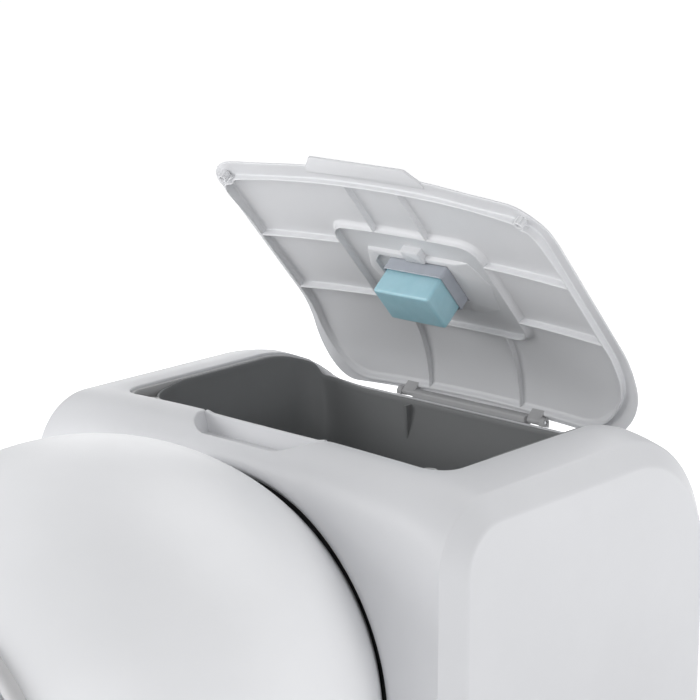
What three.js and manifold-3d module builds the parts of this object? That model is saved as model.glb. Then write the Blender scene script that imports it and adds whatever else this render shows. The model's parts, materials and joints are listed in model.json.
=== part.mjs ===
// Self-cleaning litter machine: a ball-shaped drum on a low cradle, with a bin tower behind it.
// Millimetres, +Z up, front towards -Y, origin on the floor under the middle of the machine.
// The rest pose has the tower lid standing part open.
import * as THREE from 'three';
import Module from 'manifold-3d';
import { mergeVertices, toCreasedNormals } from 'three/addons/utils/BufferGeometryUtils.js';

const wasm = await Module();
wasm.setup();

// ---------- driving dimensions ----------
const GAP = 0.3;

// tower side profile at its centre plane
const TOP_Z = 545;
const TOWER_FRONT_Y = -12;
const TOWER_REAR_Y = 391;
const TOWER_FLOOR_Z = 60;
const FRONT_ROUND = { y: 50, z: 470 };
const FRONT_SQUARENESS = 3;
const REAR_ROUND = { y: 243, z: 397, radius: 148 };
const WALL = 3.5;

// tower width: crease of the shoulder and flat side face
const CREASE_X = 250;
const SIDE_X = 266;
const CREASE_INSET = 15;
const SIDE_INSET = 35;

// lid hinge
const HINGE_Y = 338;
const HINGE_Z = 500;
const LID_OPEN_DEG = 48.5;
const PIN_R = 1.9;
const PIN_BORE_R = 2.3;
const KNUCKLE_R = 4.4;
const KNUCKLE_X0 = 72.2;
const KNUCKLE_X1 = 87.6;

// lid shell
const LID_SKIN = 3;
const RIB_T = 2.2;
const LID_PLAN = { half: 204, front: -299, rear: 5, bow: 6, rFront: 30, rRear: 50 };
const WALL_OUT_PLAN = { half: 191.5, front: -281, rear: -1, bow: 5, rFront: 22, rRear: 58 };
const WALL_IN_PLAN = { half: 189, front: -278.5, rear: -3.5, bow: 5, rFront: 20, rRear: 56 };
const POST = { x: 181.4, y: -279.2, outer: 5, bore: 2.6, pocket: 9.5, pocketWall: 11.5, hole: 6.4 };
const REST = { x: 172.8, y: -269.6, outer: 7.4, bore: 5.2, hole: 7.7 };

// tower opening and bin
const OPENING_PLAN = { half: 201, front: -291.5, rear: -14, bow: 7, rFront: 25, rRear: 41 };
const FRAME_PLAN = { half: 200.7, front: -291.2, rear: -14.3, bow: 7, rFront: 24.7, rRear: 40.7 };
const FRAME_DEPTH = 12;
const FRAME_IN_PLAN = { half: 187, front: -275, rear: -24, bow: 6, rFront: 16, rRear: 36 };
const BIN_PLAN = { half: 184, front: -267, rear: -27, bow: 4, rFront: 30, rRear: 34 };
const BIN_FLOOR_Z = 184.5;
const BIN_WALL = 3;

// drum
const DRUM_Y = -164.5;
const DRUM_Z = 325;
const DRUM_R = 245;
const DRUM_WALL = 4;
const DRUM_FRONT = -180;
const DRUM_BACK = 200;
const SOCKET_R = 251;
const DRUM_SEGMENTS = 44;

// deodoriser cartridge, in closed-lid coordinates about the hinge
const BLOCK = { half: 34.5, front: -171, rear: -127, bottom: 4.5, top: 41.5 };

// ---------- geometry helpers ----------
function solid(geometry) {
  const bare = geometry.clone();
  bare.deleteAttribute('normal');
  bare.deleteAttribute('uv');
  const merged = mergeVertices(bare, 1e-3);
  return new wasm.Manifold(new wasm.Mesh({
    numProp: 3,
    vertProperties: new Float32Array(merged.attributes.position.array),
    triVerts: new Uint32Array(merged.index.array),
  }));
}

function geometryOf(body) {
  const mesh = body.getMesh();
  const geometry = new THREE.BufferGeometry();
  geometry.setAttribute('position', new THREE.BufferAttribute(new Float32Array(mesh.vertProperties), 3));
  geometry.setIndex(new THREE.BufferAttribute(new Uint32Array(mesh.triVerts), 1));
  return geometry;
}

function box(x0, x1, y0, y1, z0, z1) {
  const geometry = new THREE.BoxGeometry(x1 - x0, y1 - y0, z1 - z0);
  geometry.translate((x0 + x1) / 2, (y0 + y1) / 2, (z0 + z1) / 2);
  return geometry;
}

const boxSolid = (...limits) => solid(box(...limits));

function prism(points, z0, z1) {
  const shape = new THREE.Shape(points.map(([x, y]) => new THREE.Vector2(x, y)));
  const geometry = new THREE.ExtrudeGeometry(shape, { depth: z1 - z0, bevelEnabled: false });
  geometry.translate(0, 0, z0);
  return geometry;
}

// side profile given as (y, z) points, run along X
function prismX(points, x0, x1) {
  const geometry = prism(points, 0, x1 - x0);
  const turn = new THREE.Matrix4().set(0, 0, 1, x0, 1, 0, 0, 0, 0, 1, 0, 0, 0, 0, 0, 1);
  geometry.applyMatrix4(turn);
  return geometry;
}

// front profile given as (x, z) points, run along Y
function prismY(points, y0, y1) {
  const geometry = prism(points.map(([x, z]) => [x, z]), 0, y1 - y0);
  const turn = new THREE.Matrix4().set(1, 0, 0, 0, 0, 0, -1, y1, 0, 1, 0, 0, 0, 0, 0, 1);
  geometry.applyMatrix4(turn);
  return geometry;
}

function cylinder(axis, radius, from, to, centre, segments = 16) {
  const geometry = new THREE.CylinderGeometry(radius, radius, to - from, segments);
  if (axis === 'x') geometry.rotateZ(Math.PI / 2);
  if (axis === 'z') geometry.rotateX(Math.PI / 2);
  const middle = (from + to) / 2;
  if (axis === 'x') geometry.translate(middle, centre[0], centre[1]);
  if (axis === 'y') geometry.translate(centre[0], middle, centre[1]);
  if (axis === 'z') geometry.translate(centre[0], centre[1], middle);
  return geometry;
}

// profile of (radius, y) points turned about the drum axis
function turnedAboutY(profile, segments, centre) {
  const geometry = new THREE.LatheGeometry(profile.map(([r, y]) => new THREE.Vector2(r, y)), segments);
  geometry.translate(centre[0], 0, centre[1]);
  return geometry;
}

function ball(radius, widthSegments = DRUM_SEGMENTS, heightSegments = 28) {
  const geometry = new THREE.SphereGeometry(radius, widthSegments, heightSegments);
  geometry.translate(0, DRUM_Y, DRUM_Z);
  return geometry;
}

// closed skin over a row of equal rings of points
function loft(rings) {
  const count = rings[0].length;
  const positions = rings.flat(2);
  const index = [];
  for (let r = 0; r < rings.length - 1; r += 1) {
    for (let i = 0; i < count; i += 1) {
      const j = (i + 1) % count;
      const a = r * count + i;
      const b = r * count + j;
      index.push(a, a + count, b, b, a + count, b + count);
    }
  }
  const last = (rings.length - 1) * count;
  for (let i = 1; i < count - 1; i += 1) {
    index.push(0, i, i + 1);
    index.push(last, last + i + 1, last + i);
  }
  const geometry = new THREE.BufferGeometry();
  geometry.setAttribute('position', new THREE.Float32BufferAttribute(positions, 3));
  geometry.setIndex(index);
  return geometry;
}

// closed slab between two height functions on a grid
function slab(xs, ys, low, high) {
  const nx = xs.length;
  const ny = ys.length;
  const positions = [];
  for (const height of [low, high]) {
    for (const y of ys) {
      for (const x of xs) positions.push(x, y, height(x, y));
    }
  }
  const id = (k, i, j) => k * nx * ny + j * nx + i;
  const index = [];
  const quad = (a, b, c, d) => index.push(a, b, c, a, c, d);
  for (let j = 0; j < ny - 1; j += 1) {
    for (let i = 0; i < nx - 1; i += 1) {
      quad(id(1, i, j), id(1, i + 1, j), id(1, i + 1, j + 1), id(1, i, j + 1));
      quad(id(0, i, j), id(0, i, j + 1), id(0, i + 1, j + 1), id(0, i + 1, j));
    }
  }
  for (let i = 0; i < nx - 1; i += 1) {
    quad(id(0, i, 0), id(0, i + 1, 0), id(1, i + 1, 0), id(1, i, 0));
    quad(id(0, i + 1, ny - 1), id(0, i, ny - 1), id(1, i, ny - 1), id(1, i + 1, ny - 1));
  }
  for (let j = 0; j < ny - 1; j += 1) {
    quad(id(0, 0, j + 1), id(0, 0, j), id(1, 0, j), id(1, 0, j + 1));
    quad(id(0, nx - 1, j), id(0, nx - 1, j + 1), id(1, nx - 1, j + 1), id(1, nx - 1, j));
  }
  const geometry = new THREE.BufferGeometry();
  geometry.setAttribute('position', new THREE.Float32BufferAttribute(positions, 3));
  geometry.setIndex(index);
  return geometry;
}

function steps(from, to, count) {
  return Array.from({ length: count + 1 }, (_, i) => from + ((to - from) * i) / count);
}

// rounded rectangle seen from above, with a bowed front edge
function outline(plan, segments = 6) {
  const { half, front, rear, bow, rFront, rRear } = plan;
  const points = [];
  const frontY = (x) => front + bow * (x / half) ** 2;
  for (const x of steps(-(half - rFront), half - rFront, 8)) points.push([x, frontY(x)]);
  const cornerY = frontY(half - rFront) + rFront;
  for (let i = 1; i <= segments; i += 1) {
    const t = (i / segments) * (Math.PI / 2);
    points.push([half - rFront + rFront * Math.sin(t), cornerY - rFront * Math.cos(t)]);
  }
  for (let i = 0; i <= segments; i += 1) {
    const t = (i / segments) * (Math.PI / 2);
    points.push([half - rRear + rRear * Math.cos(t), rear - rRear + rRear * Math.sin(t)]);
  }
  for (let i = 0; i <= segments; i += 1) {
    const t = (i / segments) * (Math.PI / 2);
    points.push([-(half - rRear) - rRear * Math.sin(t), rear - rRear + rRear * Math.cos(t)]);
  }
  for (let i = 0; i < segments; i += 1) {
    const t = (i / segments) * (Math.PI / 2);
    points.push([-(half - rFront) - rFront * Math.cos(t), cornerY - rFront * Math.sin(t)]);
  }
  return points;
}

function roundRect(x0, x1, y0, y1, radius, segments = 5) {
  const points = [];
  const corners = [[x1 - radius, y0 + radius, -90], [x1 - radius, y1 - radius, 0],
    [x0 + radius, y1 - radius, 90], [x0 + radius, y0 + radius, 180]];
  for (const [cx, cy, start] of corners) {
    for (let i = 0; i <= segments; i += 1) {
      const t = THREE.MathUtils.degToRad(start + (90 * i) / segments);
      points.push([cx + radius * Math.cos(t), cy + radius * Math.sin(t)]);
    }
  }
  return points;
}

// ---------- tower surface ----------
function insetAt(x) {
  const a = Math.abs(x);
  if (a <= 205) return 6.5 * (a / 200) ** 2;
  if (a <= CREASE_X) {
    const d = a - 205;
    return 6.83 + 0.0666 * d + 0.00255 * d * d;
  }
  return CREASE_INSET + ((a - CREASE_X) / (SIDE_X - CREASE_X)) * (SIDE_INSET - CREASE_INSET);
}

function frontInsetAt(x) {
  const a = Math.abs(x);
  if (a <= CREASE_X) return 0.13 * insetAt(a);
  return 2 + (insetAt(a) - CREASE_INSET);
}

// exponent of the rounded front edge: nearly square at the middle, a plain ellipse at the creases
function frontExponent(x) {
  return FRONT_SQUARENESS - (FRONT_SQUARENESS - 2) * Math.min(Math.abs(x) / CREASE_X, 1) ** 2;
}

function towerTopZ(x, y) {
  const inset = insetAt(x);
  if (y > REAR_ROUND.y) {
    const radius = REAR_ROUND.radius - inset;
    return REAR_ROUND.z + Math.sqrt(Math.max(radius ** 2 - (y - REAR_ROUND.y) ** 2, 0));
  }
  if (y < FRONT_ROUND.y) {
    const a = FRONT_ROUND.y - TOWER_FRONT_Y - frontInsetAt(x);
    const b = TOP_Z - FRONT_ROUND.z - inset;
    const n = frontExponent(x);
    return FRONT_ROUND.z + b * Math.max(1 - ((FRONT_ROUND.y - y) / a) ** n, 0) ** (1 / n);
  }
  return TOP_Z - inset;
}

// side profile ring of the tower at station x, drawn in by a wall thickness
function towerRing(x, profileX, wall, floorZ) {
  const inset = insetAt(profileX) + wall;
  const a = FRONT_ROUND.y - TOWER_FRONT_Y - frontInsetAt(profileX) - wall;
  const b = TOP_Z - FRONT_ROUND.z - inset;
  const radius = REAR_ROUND.radius - inset;
  const ring = [];
  ring.push([x, FRONT_ROUND.y - a, floorZ]);
  const power = 2 / frontExponent(profileX);
  for (const t of steps(0, Math.PI / 2, 8)) {
    const forward = Math.max(Math.cos(t), 0) ** power;
    ring.push([x, FRONT_ROUND.y - a * forward, FRONT_ROUND.z + b * Math.sin(t) ** power]);
  }
  for (const t of steps(0, Math.PI / 2, 12)) {
    ring.push([x, REAR_ROUND.y + radius * Math.sin(t), REAR_ROUND.z + radius * Math.cos(t)]);
  }
  ring.push([x, REAR_ROUND.y + radius, floorZ]);
  return ring;
}

function mirrored(stations) {
  return [...stations.map((x) => -x), ...stations.slice(0, -1).reverse()];
}

function towerBody(wall, floorZ) {
  const stations = mirrored([SIDE_X, CREASE_X, 238, 222, 205, 165, 120, 70, 0]);
  const rings = stations.map((x) => towerRing(x * (1 - wall / SIDE_X), x, wall, floorZ));
  return solid(loft(rings));
}

// ---------- lid, built closed and then swung to the rest pose ----------
function insideDistance(plan, x, y) {
  const radius = y < -150 ? plan.rFront : plan.rRear;
  const cx = Math.max(Math.abs(x) - (plan.half - radius), 0);
  const edgeY = Math.max(plan.front + plan.bow * (x / plan.half) ** 2 + radius - y, y - (plan.rear - radius), 0);
  if (cx > 0 && edgeY > 0) return radius - Math.hypot(cx, edgeY);
  return Math.min(plan.half - Math.abs(x), y - plan.front - plan.bow * (x / plan.half) ** 2, plan.rear - y);
}

const smooth = (t) => {
  const k = Math.min(Math.max(t, 0), 1);
  return k * k * (3 - 2 * k);
};

const bodyTop = (x, y) => towerTopZ(x, y + HINGE_Y) - HINGE_Z;
const lidTop = (x, y) => bodyTop(x, y) + 4 + 3.5 * smooth(insideDistance(LID_PLAN, x, y) / 36);
const lidUnder = (x, y) => lidTop(x, y) - LID_SKIN;
const cornerDroop = (x, y) => smooth((-y - 200) / 75) * (x / 175) ** 4;
const lidCrest = (x, y) => bodyTop(x, y) - 1.5 - 4.5 * (x / 180) ** 2 - 2.5 * cornerDroop(x, y);

const LID_XS = mirrored([206, 190, 168, 135, 90, 45, 0]);
const LID_YS = [-316, -294, -278, -256, -210, -160, -110, -78, -54, -34, -16, -4, 6];

function lidBand(low, high) {
  return solid(slab(LID_XS, LID_YS, low, high));
}

function wallPrism(points) {
  return solid(prism(points, -60, 90));
}

function wallRing(outer, inner) {
  return wallPrism(outer).subtract(wallPrism(inner));
}

function bar(x0, x1, y0, y1) {
  return boxSolid(Math.min(x0, x1), Math.max(x0, x1), y0, y1, -60, 90);
}

function swingToRest(geometry) {
  const swing = new THREE.Matrix4().makeTranslation(0, HINGE_Y, HINGE_Z)
    .multiply(new THREE.Matrix4().makeRotationX(-THREE.MathUtils.degToRad(LID_OPEN_DEG)));
  geometry.applyMatrix4(swing);
  return geometry;
}

function tabOutline() {
  return [[-72, -291], [-68, -298], [-62, -309], [-56, -313], [56, -313], [62, -309], [68, -298], [72, -291]];
}

function lidShell() {
  let walls = wallRing(outline(WALL_OUT_PLAN), outline(WALL_IN_PLAN));
  const ringOut = roundRect(-92, 92, -217, -68, 21);
  const ringIn = roundRect(-89.8, 89.8, -214.8, -70.2, 19);
  walls = walls.add(wallRing(ringOut, ringIn));
  const half = RIB_T / 2;
  for (const side of [-1, 1]) {
    walls = walls.add(bar(side * 32.4 - half, side * 32.4 + half, -280, -216));
    walls = walls.add(bar(side * 58.9 - half, side * 58.9 + half, -69, -2.5));
    walls = walls.add(bar(side * 91, side * 190, -187.6 - half, -187.6 + half));
    walls = walls.add(bar(side * 91, side * 190, -106.7 - half, -106.7 + half));
    const at = [side * POST.x, POST.y];
    walls = walls.add(solid(cylinder('z', POST.pocketWall, -60, 90, at, 24)));
  }
  walls = walls.intersect(wallPrism(outline(WALL_OUT_PLAN)));
  for (const side of [-1, 1]) {
    const at = [side * POST.x, POST.y];
    walls = walls.subtract(solid(cylinder('z', POST.pocket, -60, 90, at, 24)));
  }
  const ribs = walls.intersect(lidBand(lidCrest, (x, y) => lidTop(x, y) - 1));
  const skin = lidBand(lidUnder, lidTop).intersect(wallPrism(outline(LID_PLAN)));
  const tab = lidBand((x, y) => lidTop(x, Math.max(y, -292)) - 3.4, (x, y) => lidTop(x, Math.max(y, -292)) - 0.4)
    .intersect(wallPrism(tabOutline()));
  let shell = skin.add(ribs).add(tab);
  for (const side of [-1, 1]) {
    const x0 = side > 0 ? KNUCKLE_X0 : -KNUCKLE_X1;
    const x1 = side > 0 ? KNUCKLE_X1 : -KNUCKLE_X0;
    shell = shell.add(boxSolid(x0, x1, -KNUCKLE_R, 3.4, 0, 13));
    shell = shell.add(solid(cylinder('x', KNUCKLE_R, x0, x1, [0, 0], 24)));
    shell = shell.subtract(solid(cylinder('x', PIN_BORE_R, x0 - 2, x1 + 2, [0, 0], 16)));
  }
  return swingToRest(geometryOf(shell));
}

function lidPost(side) {
  const at = [side * POST.x, POST.y];
  const top = lidUnder(at[0] + side * POST.outer, at[1] - POST.outer) - 0.8;
  const low = lidCrest(at[0], at[1]) - 2;
  const post = solid(cylinder('z', POST.outer, low, top, at, 24));
  return swingToRest(geometryOf(post.subtract(solid(cylinder('z', POST.bore, low - 1, top - 2, at, 16)))));
}

// ---------- deodoriser in the lid ----------
const HOLDER_TOP = 48.3;

function holderFrame() {
  const plan = [[-72, -152], [-60, -179], [60, -179], [72, -152], [60, -112], [-60, -112]];
  const body = solid(prism(plan, 44.5, HOLDER_TOP));
  const well = solid(prism(roundRect(-36.8, 36.8, -174.2, -123.8, 4), 40, 60));
  const tabWell = boxSolid(-11.3, 11.3, -185, -173, 43, 48.3);
  return swingToRest(geometryOf(body.subtract(well).subtract(tabWell)));
}

function latchTab() {
  const profile = [[-188, 43.5], [-185, 41.5], [-176.6, 41.5], [-174.6, 44], [-174.6, 48], [-188, 48]];
  return swingToRest(prismX(profile, -11, 11));
}

function cartridgeTray() {
  const outer = solid(prism(roundRect(-36.3, 36.3, -173.8, -124.2, 3.6), 30, 43.8));
  const inner = solid(prism(roundRect(-34.9, 34.9, -172.4, -125.6, 2.6), 29, 42.4));
  return swingToRest(geometryOf(outer.subtract(inner)));
}

function gelBlock() {
  return swingToRest(prism(roundRect(-BLOCK.half, BLOCK.half, BLOCK.front, BLOCK.rear, 3), BLOCK.bottom, BLOCK.top));
}

// ---------- tower ----------
// hinge channel: everything above a floor that falls to the rear and, ahead of the hinge, rises towards both ends
function channelFloor(x, y) {
  const a = Math.abs(x);
  const ahead = Math.min(Math.max((HINGE_Y - y) / 20, 0), 1);
  const rise = 4.5 * smooth((a - 125) / 50) * ahead + 0.8 * Math.max(a - 178, 0);
  return HINGE_Z - 0.6 - 0.33 * (y - HINGE_Y + 13) + rise;
}

function channelCut() {
  const xs = mirrored([194, 178, 160, 140, 118, 100, 0]);
  return solid(slab(xs, [HINGE_Y - 25, HINGE_Y - 20, HINGE_Y, HINGE_Y + 62], channelFloor, () => 620));
}

function shifted(points) {
  return points.map(([x, y]) => [x, y + HINGE_Y]);
}

function towerShell() {
  let body = towerBody(0, TOWER_FLOOR_Z);
  body = body.subtract(towerBody(WALL, TOWER_FLOOR_Z + 4));
  const mouth = solid(prism(shifted(outline(OPENING_PLAN)), 440, 620));
  body = body.add(towerMouthWall()).add(solid(fingerRecess(2.6)).intersect(towerBody(0, TOWER_FLOOR_Z)));
  body = body.subtract(mouth).subtract(boxSolid(-71, 71, RECESS.rear - 1, 52, RECESS.wallTop, 570));
  body = body.subtract(channelCut());
  body = body.subtract(solid(ball(SOCKET_R)));
  body = body.subtract(solid(fingerRecess(0)));
  body = body.subtract(solid(prismY(roundRect(-60, 60, 96, 136, 4), 380, 400)));
  body = body.subtract(solid(prismY(roundRect(168.5, 201.5, 88.5, 117.5, 3), 380, 400)));
  return geometryOf(body);
}

// thick lip under the top skin around the opening
function towerMouthWall() {
  const outer = { ...OPENING_PLAN, half: 204.5, front: -295, rear: -10.5, rFront: 28.5, rRear: 44.5 };
  const ring = solid(prism(shifted(outline(outer)), 470, 560));
  const xs = mirrored([207, 180, 150, 110, 60, 0]);
  const ys = [36, 48, 60, 90, 150, 243, 260, 280, 300, 315, 330];
  const band = solid(slab(xs, ys, (x, y) => towerTopZ(x, y) - 16, (x, y) => towerTopZ(x, y) - 1.5));
  return ring.intersect(band);
}

// scooped finger recess ahead of the front rim, wider at the rear and at the top
const RECESS = { rear: 42.6, wallTop: 541.2 };

function fingerRecess(grow) {
  const rings = [];
  for (const [k, z] of [[0, 524 - grow], [0.5, 527], [0.85, 533], [1, 541], [1, 560]]) {
    const front = 17 - 6 * k - grow;
    const rear = RECESS.rear + (grow > 0 ? 1 : 0);
    const wide = 66 + 8 * k + grow;
    const narrow = 46 + 8 * k + grow;
    const side = [];
    for (const t of steps(0, 1, 6)) {
      const along = Math.sin(t * Math.PI / 2) ** 0.8;
      side.push([narrow + (wide - narrow) * along, front + (rear - front) * (1 - Math.cos(t * Math.PI / 2))]);
    }
    const right = side.map(([x, y]) => [x, y, z]);
    const left = side.map(([x, y]) => [-x, y, z]).reverse();
    rings.push([...right, ...left]);
  }
  return loft(rings.reverse());
}

function openingFrame() {
  const ring = solid(prism(shifted(outline(FRAME_PLAN)), 440, 600))
    .subtract(solid(prism(shifted(outline(FRAME_IN_PLAN)), 430, 610)));
  const xs = mirrored([198, 165, 115, 60, 0]);
  const ys = [48, 64, 150, 243, 270, 291, 303, 314, 326];
  const band = solid(slab(xs, ys, frameLow, frameLedge));
  let frame = ring.intersect(band).subtract(channelCut());
  frame = frame.subtract(solid(fingerRecessClear()));
  for (const side of [-1, 1]) {
    frame = frame.subtract(solid(cylinder('z', REST.hole, 500, 560, [side * REST.x, REST.y + HINGE_Y], 24)));
    frame = frame.subtract(solid(cylinder('z', POST.hole, 526, 560, [side * POST.x, POST.y + HINGE_Y], 24)));
  }
  return geometryOf(frame);
}

function fingerRecessClear() {
  return box(-74, 74, 40, 64, 480, 560);
}

function restBoss(side) {
  const at = [side * REST.x, REST.y + HINGE_Y];
  const top = towerTopZ(at[0], at[1]) - 9.8;
  const cup = solid(cylinder('z', REST.outer, top - 18, top, at, 28));
  return geometryOf(cup.subtract(solid(cylinder('z', REST.bore, top - 3, top + 2, at, 24))));
}

function hingeCover() {
  const y = HINGE_Y;
  const z = HINGE_Z;
  const profile = [[y - 6, z - 2.2], [y + 6, z - 6.2], [y + 6, z + 1], [y + 3, z + 4], [y - 3, z + 4], [y - 6, z + 2]];
  let bar3 = solid(prismX(profile, -71.8, 71.8));
  for (const x of [-71.8, 71.8]) {
    const inner = x - Math.sign(x) * 8;
    bar3 = bar3.subtract(solid(cylinder('x', PIN_BORE_R, Math.min(inner, x) - 1, Math.max(inner, x) + 1, [y, z], 16)));
  }
  return geometryOf(bar3);
}

function hingeLug(side) {
  const y = HINGE_Y;
  const z = HINGE_Z;
  const x0 = side > 0 ? KNUCKLE_X1 + GAP : -KNUCKLE_X1 - 6.3;
  const profile = [[y - 4.6, z - 2.9], [y + 5, z - 5.9], [y + 5, z + 1], [y + 2, z + 4.2], [y - 2, z + 4.2], [y - 4.6, z + 1]];
  const body = solid(prismX(profile, x0, x0 + 6));
  return geometryOf(body.subtract(solid(cylinder('x', PIN_BORE_R, x0 - 1, x0 + 7, [y, z], 16))));
}

function hingePin(side) {
  const from = side > 0 ? 64.5 : -93;
  return cylinder('x', PIN_R, from, from + 28.5, [HINGE_Y, HINGE_Z], 16);
}

const frameLedge = (x, y) => towerTopZ(x, y) - 3.4 - 4.6 * (x / 180) ** 2 - 2.6 * cornerDroop(x, y - HINGE_Y);
const frameLow = (x, y) => Math.min(frameLedge(x, y) - FRAME_DEPTH, HINGE_Z - 9 + Math.max(HINGE_Y - 24 - y, 0));

// slab that follows the underside of the opening frame
function underFrame(low, high) {
  const xs = mirrored([188, 150, 100, 50, 0]);
  const ys = [60, 78, 150, 243, 270, 291, 303, 314, 320];
  return solid(slab(xs, ys, low, high));
}

function wasteBin() {
  const bottom = BIN_FLOOR_Z;
  const rim = (x, y) => frameLow(x, y) + 2.6 * cornerDroop(x, y - HINGE_Y) - 2;
  const lip = { ...BIN_PLAN, half: 186, front: -269.5, rear: -25, rFront: 32, rRear: 36 };
  const inner = {
    half: BIN_PLAN.half - BIN_WALL,
    front: BIN_PLAN.front + BIN_WALL,
    rear: BIN_PLAN.rear - BIN_WALL,
    bow: BIN_PLAN.bow,
    rFront: BIN_PLAN.rFront - BIN_WALL,
    rRear: BIN_PLAN.rRear - BIN_WALL,
  };
  const outer = solid(prism(shifted(outline(BIN_PLAN)), bottom, 600));
  let bin = outer.intersect(underFrame(() => bottom - 10, rim));
  const band = solid(prism(shifted(outline(lip)), bottom, 600));
  bin = bin.add(band.intersect(underFrame((x, y) => rim(x, y) - 4, rim)));
  bin = bin.subtract(solid(prism(shifted(outline(inner)), bottom + BIN_WALL, 610)));
  const port = roundRect(-66, 66, 362, 456, 16);
  bin = bin.subtract(solid(prismY(port, HINGE_Y + BIN_PLAN.front - 8, HINGE_Y + BIN_PLAN.front + 14)));
  return geometryOf(bin);
}

function binShelf() {
  const top = BIN_FLOOR_Z - GAP;
  let shelf = boxSolid(-190, 190, 66, 320, TOWER_FLOOR_Z + 4.3, top);
  shelf = shelf.subtract(boxSolid(-184, 184, 60, 330, TOWER_FLOOR_Z, top - 6));
  return geometryOf(shelf);
}

// ---------- drum and its drive ----------
function drumArc(radius, from, to, count) {
  const a0 = Math.asin(from / radius);
  const a1 = Math.asin(to / radius);
  return steps(a0, a1, count).map((a) => [radius * Math.cos(a), DRUM_Y + radius * Math.sin(a)]);
}

function drumShell() {
  const outer = drumArc(DRUM_R, DRUM_FRONT, DRUM_BACK, 18);
  const inner = drumArc(DRUM_R - DRUM_WALL, DRUM_FRONT, DRUM_BACK, 12).reverse();
  return turnedAboutY([...outer, ...inner, outer[0]], DRUM_SEGMENTS, [0, DRUM_Z]);
}

function entranceRing() {
  const y = DRUM_Y + DRUM_FRONT;
  const profile = [[158, y - 8], [162, y - 11], [168, y - 11], [172, y - 7], [172, y - GAP], [158, y - GAP]];
  return turnedAboutY([...profile, profile[0]], DRUM_SEGMENTS, [0, DRUM_Z]);
}

function drumRearPlate() {
  const y = DRUM_Y + DRUM_BACK;
  const disc = solid(cylinder('y', 144, y + GAP, y + 4.3, [0, DRUM_Z], DRUM_SEGMENTS));
  const port = solid(prismY(roundRect(-52, 52, 44, 126, 22).map(([x, z]) => [x, z + DRUM_Z]), y - 5, y + 10));
  return geometryOf(disc.subtract(port));
}

const RING_GEAR = { teeth: 48, pitch: 171, addendum: 2.6 };
const PINION_TEETH = 8;
const PINION_PITCH = (RING_GEAR.pitch * PINION_TEETH) / RING_GEAR.teeth;
const PINION_Z = DRUM_Z - RING_GEAR.pitch - PINION_PITCH - 0.6;

// stub-toothed outline with one tooth centred at startAngle
function gearOutline(teeth, pitchRadius, centreZ, startAngle) {
  const root = pitchRadius - RING_GEAR.addendum;
  const tip = pitchRadius + RING_GEAR.addendum - 0.4;
  const points = [];
  for (let i = 0; i < teeth; i += 1) {
    for (const [k, r] of [[-0.24, root], [-0.12, tip], [0.12, tip], [0.24, root]]) {
      const t = startAngle + ((i + k) / teeth) * Math.PI * 2;
      points.push([r * Math.cos(t), r * Math.sin(t) + centreZ]);
    }
  }
  return points;
}

function ringGear() {
  const halfTooth = Math.PI / RING_GEAR.teeth;
  const gear = solid(prismY(gearOutline(RING_GEAR.teeth, RING_GEAR.pitch, DRUM_Z, halfTooth), 16, 26));
  const hole = solid(turnedAboutY([[0, 14], [168.1, 14], [154.2, 28], [0, 28]], DRUM_SEGMENTS, [0, DRUM_Z]));
  return geometryOf(gear.subtract(hole));
}

function pinion() {
  const wheel = solid(prismY(gearOutline(PINION_TEETH, PINION_PITCH, PINION_Z, Math.PI / 2), 16, 26));
  return geometryOf(wheel.add(solid(cylinder('y', 4, 15.5, 34, [0, PINION_Z], 16))));
}

function gearMotor() {
  let motor = boxSolid(-26, 26, 27, 58, PINION_Z - 20, PINION_Z + 30);
  motor = motor.add(solid(cylinder('y', 17, 56, 104, [0, PINION_Z - 3], 28)));
  motor = motor.subtract(solid(cylinder('y', 4.4, 20, 36, [0, PINION_Z], 16)));
  motor = motor.add(boxSolid(-20, 20, 34, 56, TOWER_FLOOR_Z + 4.3, PINION_Z - 18));
  return geometryOf(motor);
}

function sealRing() {
  const profile = [[176.4, 8], [181.6, 8], [181.6, 13], [172.2, 13]];
  return turnedAboutY([...profile, profile[0]], DRUM_SEGMENTS, [0, DRUM_Z]);
}

// dark collar behind the tower's round front edge, trimmed to the inside of the shell
function socketRing() {
  const profile = [[203, -8], [206, -8], [206, 14], [182, 14], [182, 11], [203, 11]];
  const collar = solid(turnedAboutY([...profile, profile[0]], DRUM_SEGMENTS, [0, DRUM_Z]));
  const inside = collar.intersect(towerBody(WALL + GAP, TOWER_FLOOR_Z));
  return geometryOf(inside.subtract(solid(fingerRecess(3.2))));
}

const ROLLER = { radius: 14, half: 6, planes: [-72, 72], angle: 36 };

function rollerCentre(side) {
  const near = Math.sqrt(DRUM_R ** 2 - (72 - ROLLER.half) ** 2);
  const reach = near + ROLLER.radius + 0.4;
  const t = THREE.MathUtils.degToRad(ROLLER.angle);
  return [side * reach * Math.sin(t), DRUM_Z - reach * Math.cos(t)];
}

function roller(side, plane) {
  const y = DRUM_Y + plane;
  const wheel = solid(cylinder('y', ROLLER.radius, y - ROLLER.half, y + ROLLER.half, rollerCentre(side), 24));
  return geometryOf(wheel.subtract(solid(cylinder('y', 3.3, y - 10, y + 10, rollerCentre(side), 16))));
}

function rollerAxle(side) {
  return cylinder('y', 3, DRUM_Y - 90, DRUM_Y + 90, rollerCentre(side), 20);
}

// ---------- base ----------
function basePan() {
  const outer = solid(prism(roundRect(-258, 258, -380, 384, 60, 6), 14, 59.7));
  const inner = solid(prism(roundRect(-252, 252, -374, 378, 54, 6), 20, 80));
  return geometryOf(outer.subtract(inner));
}

function cradlePlan(grow) {
  return roundRect(-252 - grow, 252 + grow, -385 - grow, 60, 96 + grow, 8);
}

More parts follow.
